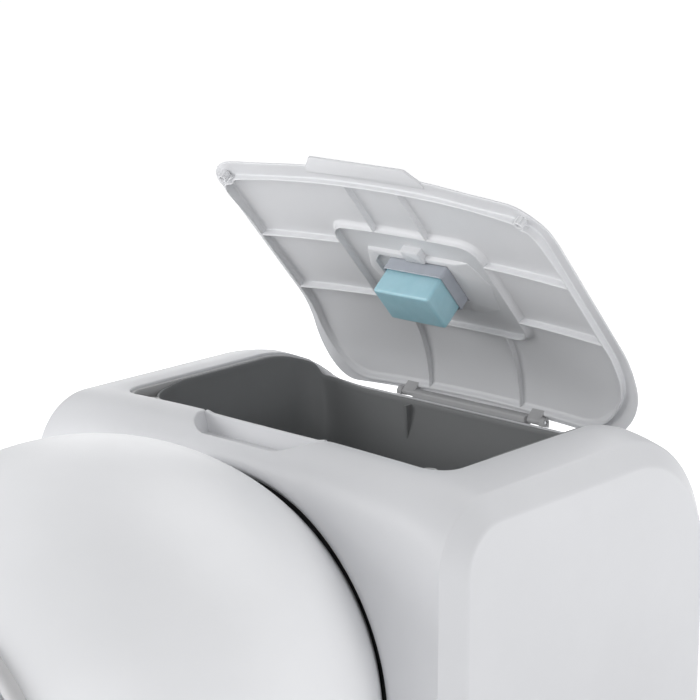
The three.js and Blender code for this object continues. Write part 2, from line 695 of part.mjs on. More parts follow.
function cradleShell() {
  const back = boxSolid(-300, 300, -12.6 - WALL, 200, 0, 400);
  const cut = boxSolid(-300, 300, -12.6, 200, 0, 400);
  const outer = solid(prism(cradlePlan(0), 60, 214)).subtract(cut);
  const inner = solid(prism(cradlePlan(-4), 50, 210)).subtract(back);
  let shell = outer.subtract(inner.subtract(solid(ball(SOCKET_R + 4))));
  shell = shell.subtract(solid(ball(SOCKET_R)));
  const entry = roundRect(-150, 150, 148, 300, 30).map(([x, z]) => [x, z]);
  shell = shell.subtract(solid(prismY(entry, -400, -330)));
  shell = shell.add(boxSolid(-138, 138, -381.5, -341, 142, 148).subtract(solid(ball(SOCKET_R))));
  for (const side of [-1, 1]) {
    const [x, z] = rollerCentre(side);
    shell = shell.subtract(boxSolid(x - 18, x + 18, DRUM_Y - 82, DRUM_Y + 82, z - 40, z + 30));
    shell = shell.subtract(solid(cylinder('y', 3.3, DRUM_Y - 92, DRUM_Y + 92, [x, z], 16)));
  }
  return geometryOf(shell);
}

function axleBracket(side, end) {
  const [x, z] = rollerCentre(side);
  const y = DRUM_Y + end * 88;
  const leg = boxSolid(x - 6.5, x + 6.5, y - 2, y + 2, 20.3, z + 4.6);
  return geometryOf(leg.subtract(solid(cylinder('y', 3.3, y - 5, y + 5, [x, z], 16))));
}

function foot(x, y) {
  return cylinder('z', 17, 0, 13.7, [x, y], 20);
}

function loadCell(x, y) {
  return box(x - 22, x + 22, y - 9, y + 9, 20.3, 30);
}

// ---------- controls, vent and inlet ----------
function controlBezel() {
  const plate = solid(prismY(roundRect(-62, 62, 92, 126, 10), -391, -385.3));
  let bezel = plate.subtract(boxSolid(12, 52, -395, -388, 101, 117));
  for (const x of [-44, -20, 2]) {
    bezel = bezel.subtract(solid(cylinder('y', 7.3, -395, -386.6, [x, 109], 24)));
  }
  return geometryOf(bezel);
}

function button(x) {
  return cylinder('y', 7, -390.6, -388.9, [x, 109], 24);
}

function displayWindow() {
  return box(12.3, 51.7, -390.4, -388.3, 101.3, 116.7);
}

function ventGrille() {
  let plate = solid(prismY(roundRect(-59.7, 59.7, 96.3, 135.7, 4), 387.8, 390.8));
  for (let i = 0; i < 9; i += 1) {
    const x = -48 + i * 12;
    plate = plate.subtract(boxSolid(x - 2.5, x + 2.5, 380, 400, 101, 131));
  }
  return geometryOf(plate);
}

function fanFrame() {
  let frame = boxSolid(-20, 20, 366, 376, 96, 136);
  frame = frame.subtract(solid(cylinder('y', 17.5, 360, 380, [0, 116], 32)));
  frame = frame.add(boxSolid(-2, 2, 366, 368, 97, 135));
  frame = frame.add(solid(cylinder('y', 5, 366, 368, [0, 116], 16)));
  return geometryOf(frame.add(boxSolid(-20, 20, 366, 376, 64.3, 97)));
}

function fanRotor() {
  let rotor = solid(cylinder('y', 7, 368.4, 376, [0, 116], 24));
  for (let i = 0; i < 5; i += 1) {
    const blade = new THREE.BoxGeometry(2.2, 5.4, 13);
    blade.rotateZ(0.5);
    blade.translate(0, 372.2, 10);
    blade.rotateY((i / 5) * Math.PI * 2);
    blade.translate(0, 0, 116);
    rotor = rotor.add(solid(blade));
  }
  return geometryOf(rotor);
}

function powerInlet() {
  const body = solid(prismY(roundRect(168.8, 201.2, 88.8, 117.2, 3), 372, 387.2));
  const mouth = solid(prismY(roundRect(174, 196, 95, 111, 2), 376, 392));
  const pins = solid(cylinder('y', 2, 375, 384, [180, 103], 16)).add(solid(cylinder('y', 2, 375, 384, [190, 103], 16)));
  return geometryOf(body.subtract(mouth).add(pins));
}

function mainBoard() {
  return box(-150, -60, 180, 270, 72, 76);
}

function boardBox() {
  const outer = boxSolid(-156, -54, 174, 276, 64.3, 92);
  return geometryOf(outer.subtract(boxSolid(-152, -58, 178, 272, 68, 100)));
}

const FLAP = { y: 65.2, z: 444.5 };

function chute() {
  const outer = solid(prismY(roundRect(-60, 60, 366, 448, 14), 42, 63));
  const inner = solid(prismY(roundRect(-57.5, 57.5, 368.5, 445.5, 11.5), 40, 66));
  let tube = outer.subtract(inner);
  for (const side of [-1, 1]) {
    const ear = boxSolid(side > 0 ? 58 : -64, side > 0 ? 64 : -58, 54, 63, 428, 446);
    const arm = boxSolid(side > 0 ? 61.2 : -64, side > 0 ? 64 : -61.2, 60, FLAP.y + 3.5, 438, FLAP.z + 3.5);
    tube = tube.add(ear.subtract(inner)).add(arm);
  }
  return geometryOf(tube.subtract(solid(cylinder('x', 1.9, -62.9, 62.9, [FLAP.y, FLAP.z], 16)).subtract(outer)));
}

function odourFlap() {
  const panel = boxSolid(-55, 55, FLAP.y - 1, FLAP.y + 1, 371, FLAP.z);
  return geometryOf(panel.add(solid(cylinder('x', 1.5, -62.6, 62.6, [FLAP.y, FLAP.z], 16))));
}

function stepMat() {
  return prism(roundRect(-134, 134, -380, -358, 8), 148.3, 151.5);
}

// ---------- assembly ----------
const COLOURS = {
  white: 0xe4e5ea, liner: 0x56585a, dark: 0x2a2c2c, teal: 0x8cc4d2, clear: 0xaab4ba,
  steel: 0xb0b3b6, rubber: 0x303234, grey: 0x9a9c9f, board: 0x2c6a4a, screen: 0x14181c,
};

const group = new THREE.Group();
group.name = 'litter_machine';

function place(name, geometry, colour, roughness = 0.5, metalness = 0) {
  const material = new THREE.MeshStandardMaterial({ color: COLOURS[colour], roughness, metalness });
  const bare = geometry.clone();
  bare.deleteAttribute('uv');
  bare.deleteAttribute('normal');
  const mesh = new THREE.Mesh(toCreasedNormals(mergeVertices(bare, 1e-4), 0.6), material);
  mesh.name = name;
  group.add(mesh);
}

place('tower_shell', towerShell(), 'white', 0.42);
place('opening_frame', openingFrame(), 'grey', 0.5);
place('rest_boss_left', restBoss(-1), 'grey', 0.5);
place('rest_boss_right', restBoss(1), 'grey', 0.5);
place('hinge_cover', hingeCover(), 'grey', 0.45);
place('lid_shell', lidShell(), 'white', 0.42);
place('holder_frame', holderFrame(), 'white', 0.4);
place('latch_tab', latchTab(), 'white', 0.4);
place('cartridge_tray', cartridgeTray(), 'clear', 0.15);
place('gel_block', gelBlock(), 'teal', 0.4);
for (const [side, end] of [[-1, 'left'], [1, 'right']]) {
  place(`lid_post_${end}`, lidPost(side), 'white', 0.45);
  place(`hinge_lug_${end}`, hingeLug(side), 'grey', 0.45);
  place(`hinge_pin_${end}`, hingePin(side), 'steel', 0.3, 0.9);
}
place('waste_bin', wasteBin(), 'liner', 0.6);
place('bin_shelf', binShelf(), 'grey', 0.6);
place('chute', chute(), 'liner', 0.5);
place('odour_flap', odourFlap(), 'rubber', 0.7);
place('drum_shell', drumShell(), 'white', 0.38);
place('entrance_ring', entranceRing(), 'grey', 0.5);
place('drum_rear_plate', drumRearPlate(), 'grey', 0.5);
place('ring_gear', ringGear(), 'dark', 0.5);
place('pinion', pinion(), 'steel', 0.4, 0.6);
place('gear_motor', gearMotor(), 'dark', 0.5);
place('seal_ring', sealRing(), 'rubber', 0.8);
place('socket_ring', socketRing(), 'dark', 0.6);
place('cradle_shell', cradleShell(), 'white', 0.42);
place('step_mat', stepMat(), 'rubber', 0.9);
place('base_pan', basePan(), 'grey', 0.6);
for (const [side, end] of [[-1, 'left'], [1, 'right']]) {
  place(`roller_front_${end}`, roller(side, ROLLER.planes[0]), 'rubber', 0.7);
  place(`roller_rear_${end}`, roller(side, ROLLER.planes[1]), 'rubber', 0.7);
  place(`roller_axle_${end}`, rollerAxle(side), 'steel', 0.3, 0.9);
  place(`axle_bracket_front_${end}`, axleBracket(side, -1), 'grey', 0.6);
  place(`axle_bracket_rear_${end}`, axleBracket(side, 1), 'grey', 0.6);
  place(`foot_front_${end}`, foot(side * 195, -300), 'rubber', 0.9);
  place(`foot_rear_${end}`, foot(side * 195, 310), 'rubber', 0.9);
  place(`load_cell_front_${end}`, loadCell(side * 195, -300), 'steel', 0.4, 0.8);
  place(`load_cell_rear_${end}`, loadCell(side * 195, 310), 'steel', 0.4, 0.8);
}
place('control_bezel', controlBezel(), 'dark', 0.4);
place('display_window', displayWindow(), 'screen', 0.1);
for (const [i, x] of [-44, -20, 2].entries()) place(`button_${i + 1}`, button(x), 'grey', 0.4);
place('vent_grille', ventGrille(), 'grey', 0.5);
place('fan_frame', fanFrame(), 'dark', 0.5);
place('fan_rotor', fanRotor(), 'dark', 0.5);
place('power_inlet', powerInlet(), 'dark', 0.5);
place('board_box', boardBox(), 'dark', 0.6);
place('main_board', mainBoard(), 'board', 0.5);

export default group;
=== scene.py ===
"""Looks of a self-cleaning litter machine whose waste lid stands open. Lengths are in metres."""

import json
import math

import bmesh
import bpy
import numpy as np
import openvdb
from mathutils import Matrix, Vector
from mathutils.geometry import delaunay_2d_cdt


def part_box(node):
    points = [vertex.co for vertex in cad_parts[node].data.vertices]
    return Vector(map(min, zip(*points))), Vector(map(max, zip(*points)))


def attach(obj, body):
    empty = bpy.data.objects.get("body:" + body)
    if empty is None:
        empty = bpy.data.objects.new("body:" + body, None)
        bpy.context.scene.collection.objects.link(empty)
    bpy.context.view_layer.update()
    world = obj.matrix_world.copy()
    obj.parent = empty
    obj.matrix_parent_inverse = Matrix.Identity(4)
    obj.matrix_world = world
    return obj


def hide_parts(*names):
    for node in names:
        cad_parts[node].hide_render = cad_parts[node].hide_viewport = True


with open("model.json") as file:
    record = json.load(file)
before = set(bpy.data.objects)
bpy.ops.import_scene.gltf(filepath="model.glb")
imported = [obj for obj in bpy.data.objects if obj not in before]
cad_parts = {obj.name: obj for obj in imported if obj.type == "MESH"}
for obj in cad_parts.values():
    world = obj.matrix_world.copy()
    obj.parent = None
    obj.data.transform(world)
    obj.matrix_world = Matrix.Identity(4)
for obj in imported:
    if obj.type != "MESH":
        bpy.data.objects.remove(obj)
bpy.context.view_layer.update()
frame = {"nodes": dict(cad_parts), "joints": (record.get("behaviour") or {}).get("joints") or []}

# ---------- driving dimensions ----------
JOINTS = {joint["name"]: joint for joint in frame["joints"]}
HINGE = Vector(JOINTS["lid_hinge"]["pos_m"])
LID_OPEN = -math.radians(JOINTS["lid_hinge"]["range_deg"][0])
DRUM = Vector(JOINTS["drum_turn"]["pos_m"])
DRUM_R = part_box("drum_shell")[1].x
TOWER_LOW, TOWER_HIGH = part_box("tower_shell")
SIDE_X = TOWER_HIGH.x
FRONT_Y = TOWER_LOW.y
REAR_Y = TOWER_HIGH.y
TOWER_FLOOR = TOWER_LOW.z

TOP_Z = 0.545
FRONT_ROUND_Y, FRONT_ROUND_Z = 0.050, 0.470
FRONT_SQUARENESS = 3.0
REAR_ROUND_R = 0.148
REAR_ROUND_Y = REAR_Y - REAR_ROUND_R
REAR_ROUND_Z = TOP_Z - REAR_ROUND_R
CREASE_X = 0.250
CREASE_INSET, SIDE_INSET = 0.015, 0.035
SHOULDER_X = 0.205

# plans seen from above: half width, front, rear, bow of the front edge, front and rear corner radius
LID_PLAN = (0.204, -0.299, 0.005, 0.006, 0.038, 0.050)
WALL_PLAN = (0.19025, -0.27975, -0.00225, 0.005, 0.021, 0.057)
BIN_RIM_PLAN = (0.1965, -0.2675, -0.0185, 0.004, 0.040, 0.037)
OPENING_PLAN = (0.201, -0.2915, -0.014, 0.007, 0.025, 0.041)
BIN_PLAN = (0.184, -0.267, -0.027, 0.004, 0.030, 0.034)

LID_SKIN, LID_EDGE = 0.003, 0.0024
RIB_T = 0.0022
RING = (0.0888, -0.2132, -0.0760)   # half width, front and rear of the ring of ribs
HOLDER_FACE = 0.0428
RIM_ROUND = 0.0026
POST_X, POST_Y, POST_LOW = 0.1814, -0.2792, 0.0285   # screw posts of the lid, from the hinge
POST_ROOM = 0.0062
SOCKET_GAP = 0.0043
RECESS_REAR, RECESS_FRONT, RECESS_FLOOR = 0.0426, 0.0080, 0.525
RECESS_WIDE, RECESS_NARROW = 0.074, 0.041
RECESS_WALL_TOP = 0.5412


# ---------- mesh tools ----------
class Skin:
    """Points and faces of one piece, gathered part by part."""

    def __init__(self):
        self.points = []
        self.faces = []

    def add(self, points, faces):
        start = len(self.points)
        self.points.extend(tuple(map(float, p)) for p in points)
        self.faces.extend(tuple(int(start + i) for i in face) for face in faces)

    def loft(self, rings, closed=True, cap=False):
        """Quads between equal rows of points; closed rows join end to end, cap fills the first and last."""
        count = len(rings[0])
        points = np.concatenate([np.asarray(ring, float) for ring in rings])
        faces = []
        span = count if closed else count - 1
        for r in range(len(rings) - 1):
            for i in range(span):
                j = (i + 1) % count
                a, b = r * count, (r + 1) * count
                faces.append((a + i, a + j, b + j, b + i))
        if cap:
            last = (len(rings) - 1) * count
            faces.append(tuple(range(count))[::-1])
            faces.append(tuple(range(last, last + count)))
        self.add(points, faces)


def finish_mesh(name, skin, merge=1e-6, sharp_deg=None):
    """Mesh object from a skin, with shared points merged and faces turned outwards."""
    mesh = bpy.data.meshes.new(name)
    mesh.from_pydata(skin.points, [], skin.faces)
    work = bmesh.new()
    work.from_mesh(mesh)
    bmesh.ops.remove_doubles(work, verts=work.verts, dist=merge)
    bmesh.ops.dissolve_degenerate(work, edges=work.edges, dist=1e-7)
    bmesh.ops.recalc_face_normals(work, faces=work.faces)
    work.to_mesh(mesh)
    work.free()
    mesh.shade_smooth()
    if sharp_deg is not None:
        mesh.set_sharp_from_angle(angle=math.radians(sharp_deg))
    piece = bpy.data.objects.new(name, mesh)
    bpy.context.scene.collection.objects.link(piece)
    return piece


def settle(piece, material, body, nodes=()):
    """Gives a piece its material and the body it rides on, and hides the CAD nodes it stands for."""
    piece.data.materials.clear()
    piece.data.materials.append(material)
    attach(piece, body)
    if nodes:
        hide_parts(*nodes)


def build(name, skin, material, body, nodes=(), sharp_deg=50):
    """Finishes a skin and settles it in one go."""
    settle(finish_mesh(name, skin, sharp_deg=sharp_deg), material, body, nodes)


def prism_along_y(skin, plan, ends):
    """A prism between two depths over a plan in x and z."""
    skin.loft([np.column_stack([plan[:, 0], np.full(len(plan), y), plan[:, 1]]) for y in ends], cap=True)


def bar_along_x(skin, profile, x0, x1, end_scale):
    """A bar over a side profile, a little smaller at its two ends."""
    middle = profile.mean(0)
    rows = []
    for x, scale in ((x0, end_scale), (x0 + 0.0005, 1.0), (x1 - 0.0005, 1.0), (x1, end_scale)):
        rows.append(np.column_stack([np.full(len(profile), x), middle + (profile - middle) * scale]))
    skin.loft(rows, cap=True)


def bezier(p0, p1, p2, count):
    """Rows of points on the arcs from p0 to p2 that start and end towards p1."""
    rows = []
    for t in np.linspace(0, 1, count):
        rows.append((1 - t) ** 2 * p0 + 2 * t * (1 - t) * p1 + t ** 2 * p2)
    return rows


def smooth_step(t):
    k = np.clip(t, 0, 1)
    return k * k * (3 - 2 * k)


def smooth_min(a, b, width):
    h = np.clip(0.5 + 0.5 * (b - a) / width, 0, 1)
    return b + (a - b) * h - width * h * (1 - h)


def smooth_max(a, b, width):
    return -smooth_min(-a, -b, width)


def arc(cx, cy, radius, start_deg, end_deg, count):
    t = np.radians(np.linspace(start_deg, end_deg, count))
    return np.stack([cx + radius * np.cos(t), cy + radius * np.sin(t)], 1)


def outline(plan, shrink=0.0):
    """Rounded rectangle with a bowed front edge, counter-clockwise from above, always with equal counts."""
    half, front, rear, bow, r_front, r_rear = plan
    half, front, rear = half - shrink, front + shrink, rear - shrink
    r_front, r_rear = max(r_front - shrink, 0.003), max(r_rear - shrink, 0.003)

    def front_y(x):
        return front + bow * (x / half) ** 2

    x0 = half - r_front
    xs = np.linspace(-x0, x0, 90)
    corner_y = front_y(x0) + r_front
    side = np.linspace(corner_y, rear - r_rear, 50)[1:-1]
    back = np.linspace(half - r_rear, -(half - r_rear), 70)[1:-1]
    rows = [
        np.stack([xs, front_y(xs)], 1),
        arc(x0, corner_y, r_front, -90, 0, 16)[1:],
        np.stack([np.full(len(side), half), side], 1),
        arc(half - r_rear, rear - r_rear, r_rear, 0, 90, 18),
        np.stack([back, np.full(len(back), rear)], 1),
        arc(-(half - r_rear), rear - r_rear, r_rear, 90, 180, 18),
        np.stack([np.full(len(side), -half), side[::-1]], 1),
        arc(-x0, corner_y, r_front, 180, 270, 16)[:-1],
    ]
    return np.concatenate(rows)


def rounded_polygon(corners, radius, count=8):
    """Polygon with its corners rounded, counter-clockwise when its corners are."""
    corners = np.asarray(corners, float)
    rows = []
    for i, corner in enumerate(corners):
        before = corners[i - 1] - corner
        after = corners[(i + 1) % len(corners)] - corner
        before /= np.linalg.norm(before)
        after /= np.linalg.norm(after)
        half_angle = math.acos(np.clip(before @ after, -1, 1)) / 2
        reach = radius / math.tan(half_angle)
        rows.extend(bezier(corner + before * reach, corner, corner + after * reach, count))
    return np.array(rows)


def rectangle(x0, y0, x1, y1, radius, count=8):
    return rounded_polygon([(x0, y0), (x1, y0), (x1, y1), (x0, y1)], radius, count)


def round_row(x, y, radius, z, count):
    """Circle of points about a vertical axis; the radius may vary round it."""
    angles = np.linspace(0, 2 * math.pi, count, endpoint=False)
    return np.column_stack([x + radius * np.cos(angles), y + radius * np.sin(angles), np.full(count, z)])


def normals_of(loop, closed=True):
    """Unit normals to the right of a row of plan points: outward where it runs counter-clockwise."""
    if closed:
        along = np.roll(loop, -1, 0) - np.roll(loop, 1, 0)
    else:
        along = np.gradient(loop, axis=0)
    along /= np.linalg.norm(along, axis=1)[:, None]
    return np.stack([along[:, 1], -along[:, 0]], 1)


def resample(loop, step):
    """The same closed loop with points about one step apart."""
    ring = np.concatenate([loop, loop[:1]])
    lengths = np.concatenate([[0], np.cumsum(np.linalg.norm(np.diff(ring, axis=0), axis=1))])
    count = int(lengths[-1] / step)
    at = np.linspace(0, lengths[-1], count, endpoint=False)
    return np.stack([np.interp(at, lengths, ring[:, k]) for k in range(2)], 1)


def relaxed(loop, rounds):
    for _ in range(rounds):
        loop = 0.5 * loop + 0.25 * (np.roll(loop, 1, 0) + np.roll(loop, -1, 0))
    return loop


def plan_distance(plan, x, y):
    """Distance outside a plan's outline, negative inside it."""
    half, front, rear, bow, r_front, r_rear = plan
    radius = np.where(y < (front + rear) / 2, r_front, r_rear)
    bowed = front + bow * (x / half) ** 2
    dx = np.abs(x) - (half - radius)
    dy = np.maximum(bowed + radius - y, y - (rear - radius))
    outside = np.hypot(np.maximum(dx, 0), np.maximum(dy, 0))
    return outside + np.minimum(np.maximum(dx, dy), 0) - radius


def inside_loop(points, loop):
    """Which points lie inside a closed loop."""
    x, y = points[:, 0][:, None], points[:, 1][:, None]
    x0, y0 = loop[:, 0][None], loop[:, 1][None]
    x1, y1 = np.roll(loop[:, 0], -1)[None], np.roll(loop[:, 1], -1)[None]
    rising = (y0 > y) != (y1 > y)
    span = np.where(y1 == y0, 1, y1 - y0)
    crossing = rising & (x < (x1 - x0) * (y - y0) / span + x0)
    return crossing.sum(1) % 2 == 1


# ---------- tower surface ----------
def sharp_inset(x):
    a = np.abs(x)
    d = a - SHOULDER_X
    crown = 0.0065 * (a / 0.2) ** 2
    shoulder = 0.00683 + 0.0666 * d + 2.55 * d * d
    strip = CREASE_INSET + (a - CREASE_X) / (SIDE_X - CREASE_X) * (SIDE_INSET - CREASE_INSET)
    return np.where(a <= SHOULDER_X, crown, np.where(a <= CREASE_X, shoulder, strip))


def inset(x):
    """Drop of the tower's side profile at x, with the crease softened over 3 mm."""
    offsets = np.linspace(-0.0015, 0.0015, 7)
    return np.mean([sharp_inset(np.abs(x) + d) for d in offsets], 0)


def front_inset(x):
    a = np.abs(x)
    return np.where(a <= CREASE_X, 0.13 * inset(a), 0.002 + inset(a) - CREASE_INSET)


def front_power(x):
    return FRONT_SQUARENESS - (FRONT_SQUARENESS - 2) * np.minimum(np.abs(x) / CREASE_X, 1) ** 2


def front_axes(x):
    return FRONT_ROUND_Y - FRONT_Y - front_inset(x), TOP_Z - FRONT_ROUND_Z - inset(x)


def tower_top(x, y):
    """Height of the tower's outer surface over a point of its plan."""
    drop = inset(x)
    a, b = front_axes(x)
    n = front_power(x)
    forward = np.clip((FRONT_ROUND_Y - y) / a, 0, 1)
    front = FRONT_ROUND_Z + b * (1 - forward ** n) ** (1 / n)
    rear_r = REAR_ROUND_R - drop
    rear = REAR_ROUND_Z + np.sqrt(np.maximum(rear_r ** 2 - (y - REAR_ROUND_Y) ** 2, 0))
    flat = TOP_Z - drop
    return np.where(y < FRONT_ROUND_Y, front, np.where(y > REAR_ROUND_Y, rear, flat))


FRONT_ARC = 0.107
FLAT_RUN = REAR_ROUND_Y - FRONT_ROUND_Y
REAR_ARC = REAR_ROUND_R * math.pi / 2
S_START = TOWER_FLOOR - FRONT_ROUND_Z
S_FLAT = FRONT_ARC
S_REAR = FRONT_ARC + FLAT_RUN
S_BACK = S_REAR + REAR_ARC
S_END = S_BACK + REAR_ROUND_Z - TOWER_FLOOR
ROLL_IN, ROLL_WIDTH = 0.0018, 0.016


def channel_floor(x, y):
    """Floor of the hinge channel: it falls to the rear and rises towards both ends."""
    a = np.abs(x)
    ahead = np.clip((HINGE.y - y) / 0.020, 0, 1)
    rise = 0.0045 * smooth_step((a - 0.125) / 0.050) * ahead + 0.8 * np.maximum(a - 0.178, 0)
    rise = rise + 1.5 * np.maximum(HINGE.y - 0.025 - y, 0)
    return HINGE.z - 0.0006 - 0.33 * (y - HINGE.y + 0.013) + rise


def tower_shaped(x, y, z):
    """A point of the plain profile after the soft roll into the opening and the hinge channel."""
    away = plan_distance(OPENING_PLAN, x, y - HINGE.y)
    rolled = z - ROLL_IN * (1 - smooth_step(away / ROLL_WIDTH)) * (z > FRONT_ROUND_Z)
    channel = smooth_min(rolled, channel_floor(x, y), 0.0070)
    return np.where((y > HINGE.y - 0.05) & (z > REAR_ROUND_Z), channel, rolled)


def side_profile(s, a, b, rear_r, power=1.0):
    """Depth and height at lengths s along a side profile with these front axes and rear radius."""
    t = np.clip(s / FRONT_ARC, 0, 1) * math.pi / 2
    u = np.clip((s - S_REAR) / REAR_ROUND_R, 0, math.pi / 2)
    y = FRONT_ROUND_Y - a * np.maximum(np.cos(t), 0) ** power
    z = FRONT_ROUND_Z + b * np.maximum(np.sin(t), 0) ** power + np.minimum(s, 0)
    on_flat = s > S_FLAT
    y = np.where(on_flat, FRONT_ROUND_Y + np.clip(s - S_FLAT, 0, FLAT_RUN) + rear_r * np.sin(u), y)
    z = np.where(on_flat, REAR_ROUND_Z + rear_r * np.cos(u) - np.maximum(s - S_BACK, 0), z)
    return y, z


def tower_points(x, s):
    """Tower skin at x and at a length s along its side profile."""
    x, s = np.asarray(x, float), np.asarray(s, float)
    a, b = front_axes(x)
    y, z = side_profile(s, a, b, REAR_ROUND_R - inset(x), 2 / front_power(x))
    return np.stack([x, y, tower_shaped(x, y, z)], -1)


def s_of_plan(x, y):
    """Length along the profile at which the skin stands over a plan point."""
    a, _ = front_axes(x)
    forward = np.clip((FRONT_ROUND_Y - y) / a, 0, 1)
    front = FRONT_ARC * np.arccos(forward ** (front_power(x) / 2)) / (math.pi / 2)
    rear_r = REAR_ROUND_R - inset(x)
    rear = S_REAR + REAR_ROUND_R * np.arcsin(np.clip((y - REAR_ROUND_Y) / rear_r, 0, 1))
    flat = S_FLAT + y - FRONT_ROUND_Y
    return np.where(y < FRONT_ROUND_Y, front, np.where(y > REAR_ROUND_Y, rear, flat))


def s_of_height(x, z):
    """Length along the front of the profile at a height."""
    _, b = front_axes(x)
    up = np.clip((z - FRONT_ROUND_Z) / b, 0, 1)
    above = FRONT_ARC * np.arcsin(up ** (front_power(x) / 2)) / (math.pi / 2)
    return np.where(z <= FRONT_ROUND_Z, z - FRONT_ROUND_Z, above)


def front_point(x, z):
    return tower_points(x, s_of_height(x, z))


def recess_side(count):
    """Right-hand side of the finger recess seen from above, from its front edge to its rear."""
    t = np.linspace(0, math.pi / 2, count)
    x = RECESS_NARROW + (RECESS_WIDE - RECESS_NARROW) * np.sin(t) ** 1.2
    y = RECESS_FRONT + (RECESS_REAR + 0.002 - RECESS_FRONT) * (1 - np.cos(t))
    return np.stack([x, y], 1)


def mouth_outline():
    """Opening and finger recess together, as one loop from above in the row frame."""
    loop = outline(OPENING_PLAN) + np.array([0, HINGE.y])
    front = loop[:90]
    left = front[front[:, 0] < -RECESS_WIDE - 0.002]
    right = front[front[:, 0] > RECESS_WIDE + 0.002]
    side = recess_side(24)
    across = np.stack([np.linspace(-RECESS_NARROW, RECESS_NARROW, 60)[1:-1],
                       np.full(58, RECESS_FRONT)], 1)
    mirrored = side[::-1] * np.array([-1, 1])
    joined = np.concatenate([left, mirrored, across, side, right, loop[90:]])
    return relaxed(resample(joined, 0.0012), 14)


def tower_skin():
    skin = Skin()
    mouth = mouth_outline()
    out = normals_of(mouth)
    in_recess = (np.abs(mouth[:, 0]) < RECESS_WIDE + 0.006) & (mouth[:, 1] < RECESS_REAR + 0.006)

    def over(offset):
        p = mouth + out * offset
        return np.stack([p[:, 0], s_of_plan(p[:, 0], p[:, 1])], 1)

    def lip(offset, drop):
        rows = tower_points(*over(offset).T)
        rows[:, :2] = mouth + out * offset
        rows[:, 2] -= drop
        return rows

    edge = lip(0.0, 0.0)
    rolled = bezier(lip(RIM_ROUND, 0.0), edge, lip(0.0, RIM_ROUND), 7)
    deep = edge.copy()
    deep[:, 2] -= 0.015
    low = np.where(in_recess, RECESS_FLOOR, deep[:, 2])
    wall = []
    for k in np.linspace(0.12, 1, 8):
        row = lip(0.0, RIM_ROUND)
        row[:, 2] = row[:, 2] * (1 - k) + low * k
        row[:, :2] -= out * (0.0065 * k * in_recess)[:, None]
        wall.append(row)
    skin.loft(rolled + wall)

    turn = np.linspace(0, 2 * math.pi, 400, endpoint=False)
    ring_r = DRUM_R + SOCKET_GAP

    def socket_edge(extra):
        low_r, high_r = np.full(400, 0.150), np.full(400, 0.240)
        for _ in range(40):
            mid = (low_r + high_r) / 2
            p = front_point(mid * np.sin(turn), DRUM.z + mid * np.cos(turn))
            inside = np.hypot(mid, p[:, 1] - DRUM.y) < ring_r
            low_r, high_r = np.where(inside, mid, low_r), np.where(inside, high_r, mid)
        r = low_r + extra
        return np.stack([r * np.sin(turn), DRUM.z + r * np.cos(turn)], 1)

    def in_socket(depth, edge_row):
        y = edge_row[:, 1] + depth
        r = np.sqrt(ring_r ** 2 - (y - DRUM.y) ** 2)
        return np.stack([r * np.sin(turn), y, DRUM.z + r * np.cos(turn)], 1)

    start = socket_edge(0.0065)
    first = front_point(*start.T)
    corner = front_point(*socket_edge(0.0).T)
    skin.loft(bezier(first, corner, in_socket(0.0050, corner), 9) + [in_socket(0.012, corner)])
    socket_loop = np.stack([start[:, 0], s_of_height(start[:, 0], start[:, 1])], 1)

    mouth_loop = over(RIM_ROUND)
    rims = [over(RIM_ROUND + d) for d in (0.0014, 0.0034, 0.0064, 0.0104, 0.0154)]
    rims.append(np.stack([socket_edge(0.010)[:, 0],
                          s_of_height(*socket_edge(0.010).T)], 1))
    patch(skin, [mouth_loop, socket_loop], rims)
    for side in (-1, 1):
        side_cap(skin, side)
    return skin


def profile_stations():
    front = np.linspace(S_START, 0, 46)[:-1]
    curve = np.linspace(0, S_FLAT, 30)[:-1]
    flat = np.linspace(S_FLAT, S_REAR, 28)[:-1]
    rear = np.linspace(S_REAR, S_BACK, 56)[:-1]
    back = np.linspace(S_BACK, S_END, 40)
    return np.concatenate([front, curve, flat, rear, back])


def width_stations():
    inner = np.linspace(0, 0.198, 30)
    shoulder = np.linspace(0.204, 0.2475, 10)
    crease = np.array([0.2483, 0.2492, 0.250, 0.2508, 0.2517])
    strip = np.linspace(0.254, 0.2645, 5)
    half = np.concatenate([inner, shoulder, crease, strip])
    return np.concatenate([-half[:0:-1], half])


